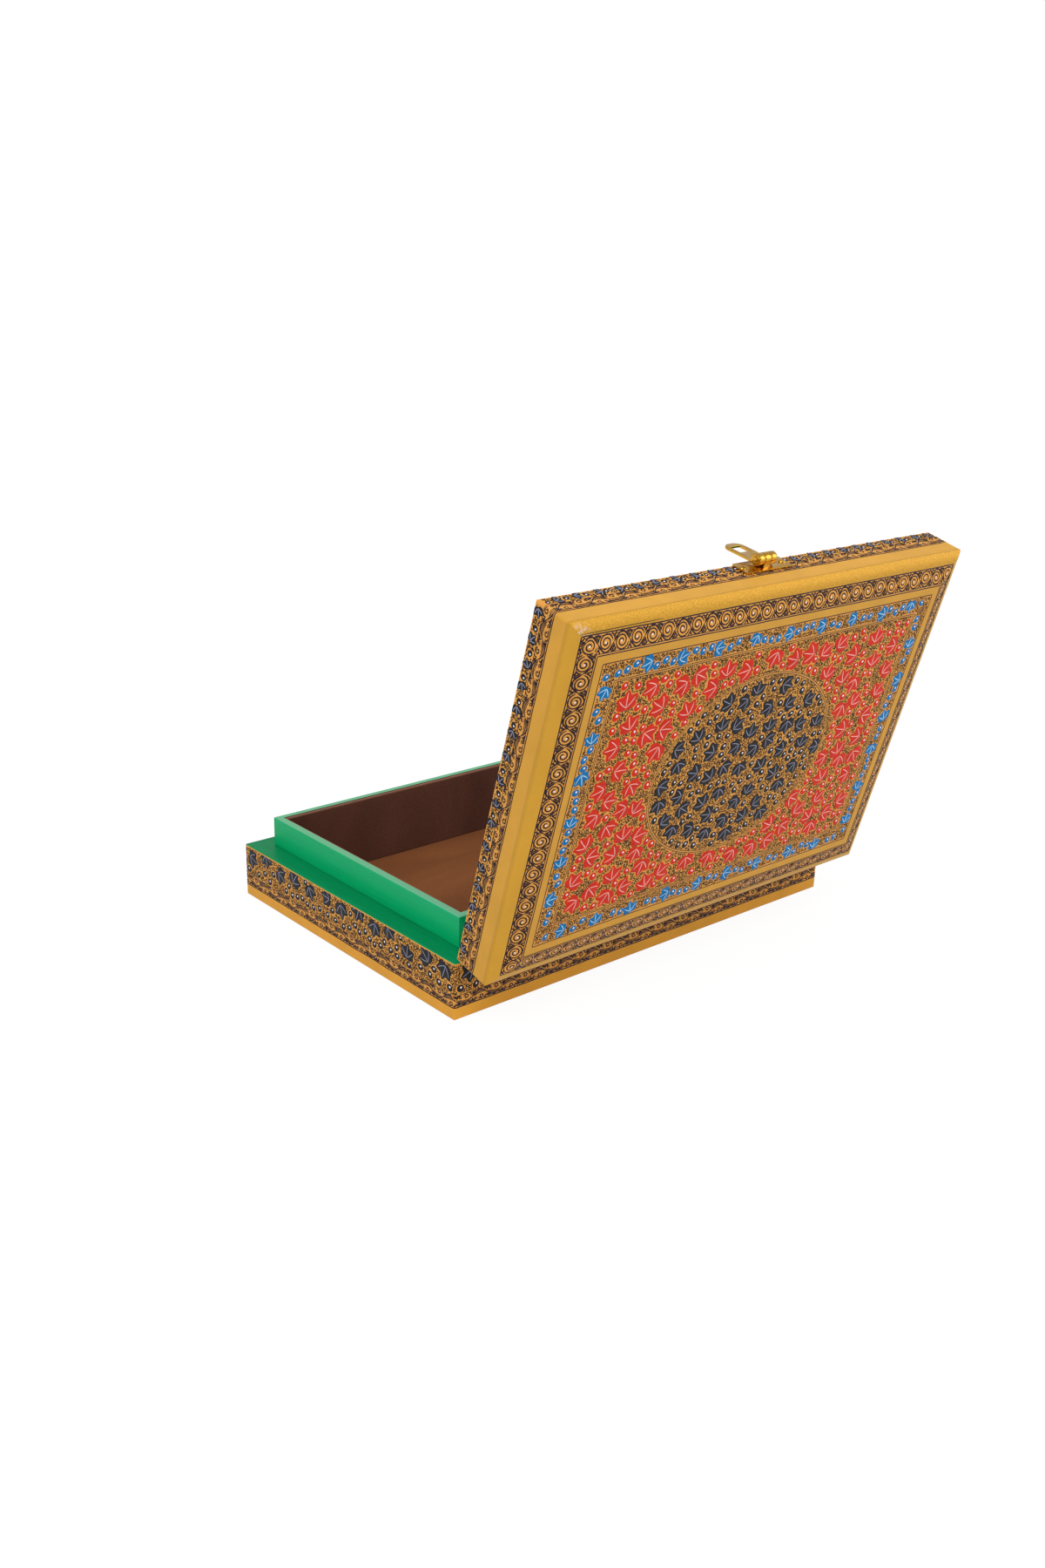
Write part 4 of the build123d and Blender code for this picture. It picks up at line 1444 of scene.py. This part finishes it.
class PAINTEDBOX_OT_wall_leaves(Operator):
    """Paint the black leaves, berries and tendrils on the walls of the base and the lid"""
    bl_idname = "painted_box.wall_leaves"
    bl_label = "Wall leaves"

    def execute(self, context):
        bands, motifs, colours = settings(context)
        ink = paint("wall_tendril_ink", colours.tendril_ink)
        shades = (colours.black, colours.black_vein, colours.glint)
        base, lid = base_walls(bands), lid_walls(bands)
        top = LEDGE - bands.edge
        layout = self.base_layout(base, bands.base_scroll + 0.3 * MM, top, motifs)
        draw_tendrils("base", layout, base, motifs.tendril, ink)
        paint_layout("base", layout, base, motifs, shades, (bands.foot_band, top))
        layout = self.lid_layout(lid, bands, motifs)
        draw_tendrils("lid_wall", layout, lid, motifs.tendril, ink)
        paint_layout("lid_wall", layout, lid, motifs, shades, (0.6 * bands.edge, bands.lid_scroll))
        return {"FINISHED"}

    def base_layout(self, surface, low, high, motifs):
        """A staggered row of leaves, with berries between and below them."""
        spans = surface.spans()
        tall = high - low
        low_row, high_row = low + 0.62 * tall, low + 0.83 * tall
        berry_rows = [low + share * tall for share in (0.82, 0.5, 0.2)]

        def inside(x, y, room):
            bends = room < 0.8 * MM
            on_wall = bends or any(start + room < x < end - room for start, end in spans)
            return on_wall and low + room < y < high - 0.6 * room

        layout = Layout(motifs.seed + 10, inside, motifs.halo)
        hand = layout.random
        for start, end in spans:
            count = round((end - start) / motifs.leaf_pitch)
            step = (end - start) / count
            for i in range(count):
                x = start + (i + 0.5) * step + hand.uniform(-0.5, 0.5) * MM
                y = (high_row if i % 2 else low_row) + hand.uniform(-0.5, 0.5) * MM
                layout.place_leaf(x, y, layout.any_angle(), motifs.wall_leaf * hand.uniform(0.94, 1.04))
            for x in (start + 2 * MM, end - 2 * MM):
                for y in berry_rows:
                    layout.try_berry(x, y, 0.95 * motifs.berry)
            for _ in range(30 * count):
                layout.try_berry(hand.uniform(start, end), low + hand.uniform(0.12, 0.5) * tall,
                                 0.9 * motifs.berry * hand.uniform(0.95, 1.05))
        box = (0, low + 0.5 * tall, surface.around, high)
        layout.scatter_berries(box, 0.82 * motifs.berry, 500, BERRIES_AT_MOST)
        layout.scatter_tendrils((0, low, surface.around, high), motifs.tendril_pitch)
        return layout

    def lid_layout(self, surface, bands, motifs):
        """One row: a leaf, then two or three berries."""
        spans = surface.spans()
        lows = [bands.rim_edge if side == "back" else bands.edge for side in SIDES]
        high = bands.lid_leaves - 0.25 * MM

        def inside(x, y, room):
            return any(start + room < x < end - room and low + room < y < high - room
                       for (start, end), low in zip(spans, lows))

        layout = Layout(motifs.seed + 20, inside, motifs.halo)
        hand = layout.random
        for (start, end), low in zip(spans, lows):
            middle, room = (low + high) / 2, high - low
            count = round((end - start) / (2.35 * room))
            step = (end - start) / count
            for i in range(count):
                x = start + (i + 0.3) * step
                layout.place_leaf(x, middle, hand.choice((0.3, 2.8, -0.4, -2.7)) + hand.uniform(-0.3, 0.3),
                                  motifs.lid_leaf * room)
                for k in range(hand.choice((2, 3))):
                    layout.try_berry(x + (0.82 + 0.62 * k) * room, middle + hand.uniform(-0.1, 0.1) * room,
                                     0.36 * room)
        box = (0, 0, surface.around, high)
        layout.scatter_berries(box, 1.2 * MM, 3000, BERRIES_AT_MOST)
        layout.scatter_tendrils(box, 0.8 * motifs.tendril_pitch)
        return layout


class PAINTEDBOX_OT_brass(Operator):
    """Round the edges of the brass fittings, and make their domed screws"""
    bl_idname = "painted_box.brass"
    bl_label = "Brass fittings"

    def execute(self, context):
        brass = brass_finish(context.scene.box_colours)
        members = frame["record"]["behaviour"]["bodies"]
        bodies = {node: body for body, nodes in members.items() for node in nodes}
        for node in ("left_hinge_pin", "right_hinge_pin", "latch_pin", "catch_staple"):
            paint_over(frame["nodes"][node], brass)
            soften(frame["nodes"][node], 30)
        leaves = [side + "_hinge_" + leaf for side in ("left", "right") for leaf in ("base_leaf", "lid_leaf")]
        pieces = {node: softened(node, 0.16 * MM) for node in ("latch_plate", "latch_hasp", *leaves)}
        for node in ("base_hinge_screws", "lid_hinge_screws", "latch_screws"):
            pieces[node] = domed_screws(node, OPENED if bodies[node] == "lid" else Matrix.Identity(4))
        for node, piece in pieces.items():
            dress(piece, bodies[node], brass)
            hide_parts(node)
        return {"FINISHED"}


class PAINTEDBOX_OT_studio(Operator):
    """Set the floor, the lamps and the camera at the photograph's view"""
    bl_idname = "painted_box.studio"
    bl_label = "Studio"

    def execute(self, context):
        choices = context.scene.box_studio
        self.floor()
        self.sky(choices.sky)
        self.lamp("key_lamp", (0.75, 0.55, 1.15), 0.9, choices.key)
        self.lamp("fill_lamp", (-0.9, 0.85, 0.6), 0.8, choices.fill)
        self.camera(choices)
        context.scene.view_settings.view_transform = "Standard"
        return {"FINISHED"}

    def floor(self):
        """Pale floor that shows white and keeps a soft shadow."""
        deselect()
        bpy.ops.mesh.primitive_plane_add(size=12)
        floor = bpy.context.object
        floor.name = "floor"
        recipe = Recipe("pale_floor")
        recipe.surface(Base_Color=(0.7, 0.7, 0.7, 1), Roughness=0.9, Specular_IOR_Level=0.1)
        path = recipe.add("ShaderNodeLightPath")
        seen = recipe.maths("MAXIMUM", path.outputs["Is Camera Ray"], path.outputs["Is Glossy Ray"])
        white = recipe.add("ShaderNodeEmission", (("Color", (1, 1, 1, 1)), ("Strength", 1.08)))
        away = recipe.add("ShaderNodeVectorMath", ((0, recipe.place()),), operation="LENGTH").outputs["Value"]
        share = recipe.times(seen, recipe.spread(away, 0.3, 1.1, 0.86, 1.0))
        values = ((0, share), (1, recipe.shader.outputs[0]), (2, white.outputs[0]))
        mix = recipe.add("ShaderNodeMixShader", values)
        recipe.put(recipe.tree.nodes["Material Output"].inputs["Surface"], mix.outputs[0])
        floor.data.materials.append(recipe.material)

    def sky(self, brightness):
        """Even light from all round, shown as white."""
        world = bpy.data.worlds.new("studio_sky")
        bpy.context.scene.world = world
        world.use_nodes = True
        tree = world.node_tree
        background = tree.nodes["Background"]
        background.inputs["Color"].default_value = (1, 1, 1, 1)
        path = tree.nodes.new("ShaderNodeLightPath")
        strength = tree.nodes.new("ShaderNodeMapRange")
        tree.links.new(path.outputs["Is Camera Ray"], strength.inputs[0])
        strength.inputs[3].default_value = brightness
        strength.inputs[4].default_value = 1.0
        tree.links.new(strength.outputs[0], background.inputs["Strength"])

    def lamp(self, name, place, size, power):
        """Square lamp that shines on the box."""
        light = bpy.data.lights.new(name, "AREA")
        light.size = size
        light.energy = power
        lamp = new_piece(name, light)
        lamp.location = place
        lamp.rotation_euler = (LAMPS_AIM - Vector(place)).to_track_quat("-Z", "Y").to_euler()

    def camera(self, choices):
        """Camera at the photograph's view."""
        data = bpy.data.cameras.new("camera")
        data.sensor_width = 36
        data.lens = choices.lens
        camera = new_piece("camera", data)
        camera.matrix_world = (Matrix.Translation(choices.camera_place)
                               @ Matrix.Rotation(choices.camera_turn - math.pi / 2, 4, "Z")
                               @ Matrix.Rotation(math.pi / 2 - choices.camera_dip, 4, "X")
                               @ Matrix.Rotation(choices.camera_roll, 4, "Z"))
        bpy.context.scene.camera = camera


class PAINTEDBOX_PT_panel(Panel):
    """Sidebar panel with a button for each group of pieces"""
    bl_idname = "PAINTEDBOX_PT_panel"
    bl_label = "Painted Box"
    bl_space_type = "VIEW_3D"
    bl_region_type = "UI"
    bl_category = "Painted Box"

    def draw(self, context):
        for operator in OPERATORS:
            self.layout.operator(operator.bl_idname)


OPERATORS = (
    PAINTEDBOX_OT_studio,
    PAINTEDBOX_OT_grounds,
    PAINTEDBOX_OT_lip,
    PAINTEDBOX_OT_linings,
    PAINTEDBOX_OT_border_lines,
    PAINTEDBOX_OT_scrolls,
    PAINTEDBOX_OT_top_field,
    PAINTEDBOX_OT_wall_leaves,
    PAINTEDBOX_OT_brass,
)
GROUPS = {
    "box_bands": BandSizes,
    "box_motifs": MotifSizes,
    "box_colours": PaintColours,
    "box_studio": StudioSettings,
}


def register():
    """Register the settings, the operators and the panel."""
    for name, group in GROUPS.items():
        bpy.utils.register_class(group)
        setattr(bpy.types.Scene, name, PointerProperty(type=group))
    for item in (*OPERATORS, PAINTEDBOX_PT_panel):
        bpy.utils.register_class(item)


def unregister():
    """Take them away again."""
    for item in reversed((*OPERATORS, PAINTEDBOX_PT_panel)):
        bpy.utils.unregister_class(item)
    for name, group in GROUPS.items():
        delattr(bpy.types.Scene, name)
        bpy.utils.unregister_class(group)


def main():
    """Dress the box."""
    register()
    bpy.ops.painted_box.studio()
    bpy.ops.painted_box.grounds()
    bpy.ops.painted_box.lip()
    bpy.ops.painted_box.linings()
    bpy.ops.painted_box.border_lines()
    bpy.ops.painted_box.scrolls()
    bpy.ops.painted_box.top_field()
    bpy.ops.painted_box.wall_leaves()
    bpy.ops.painted_box.brass()


if __name__ == "__main__":
    main()
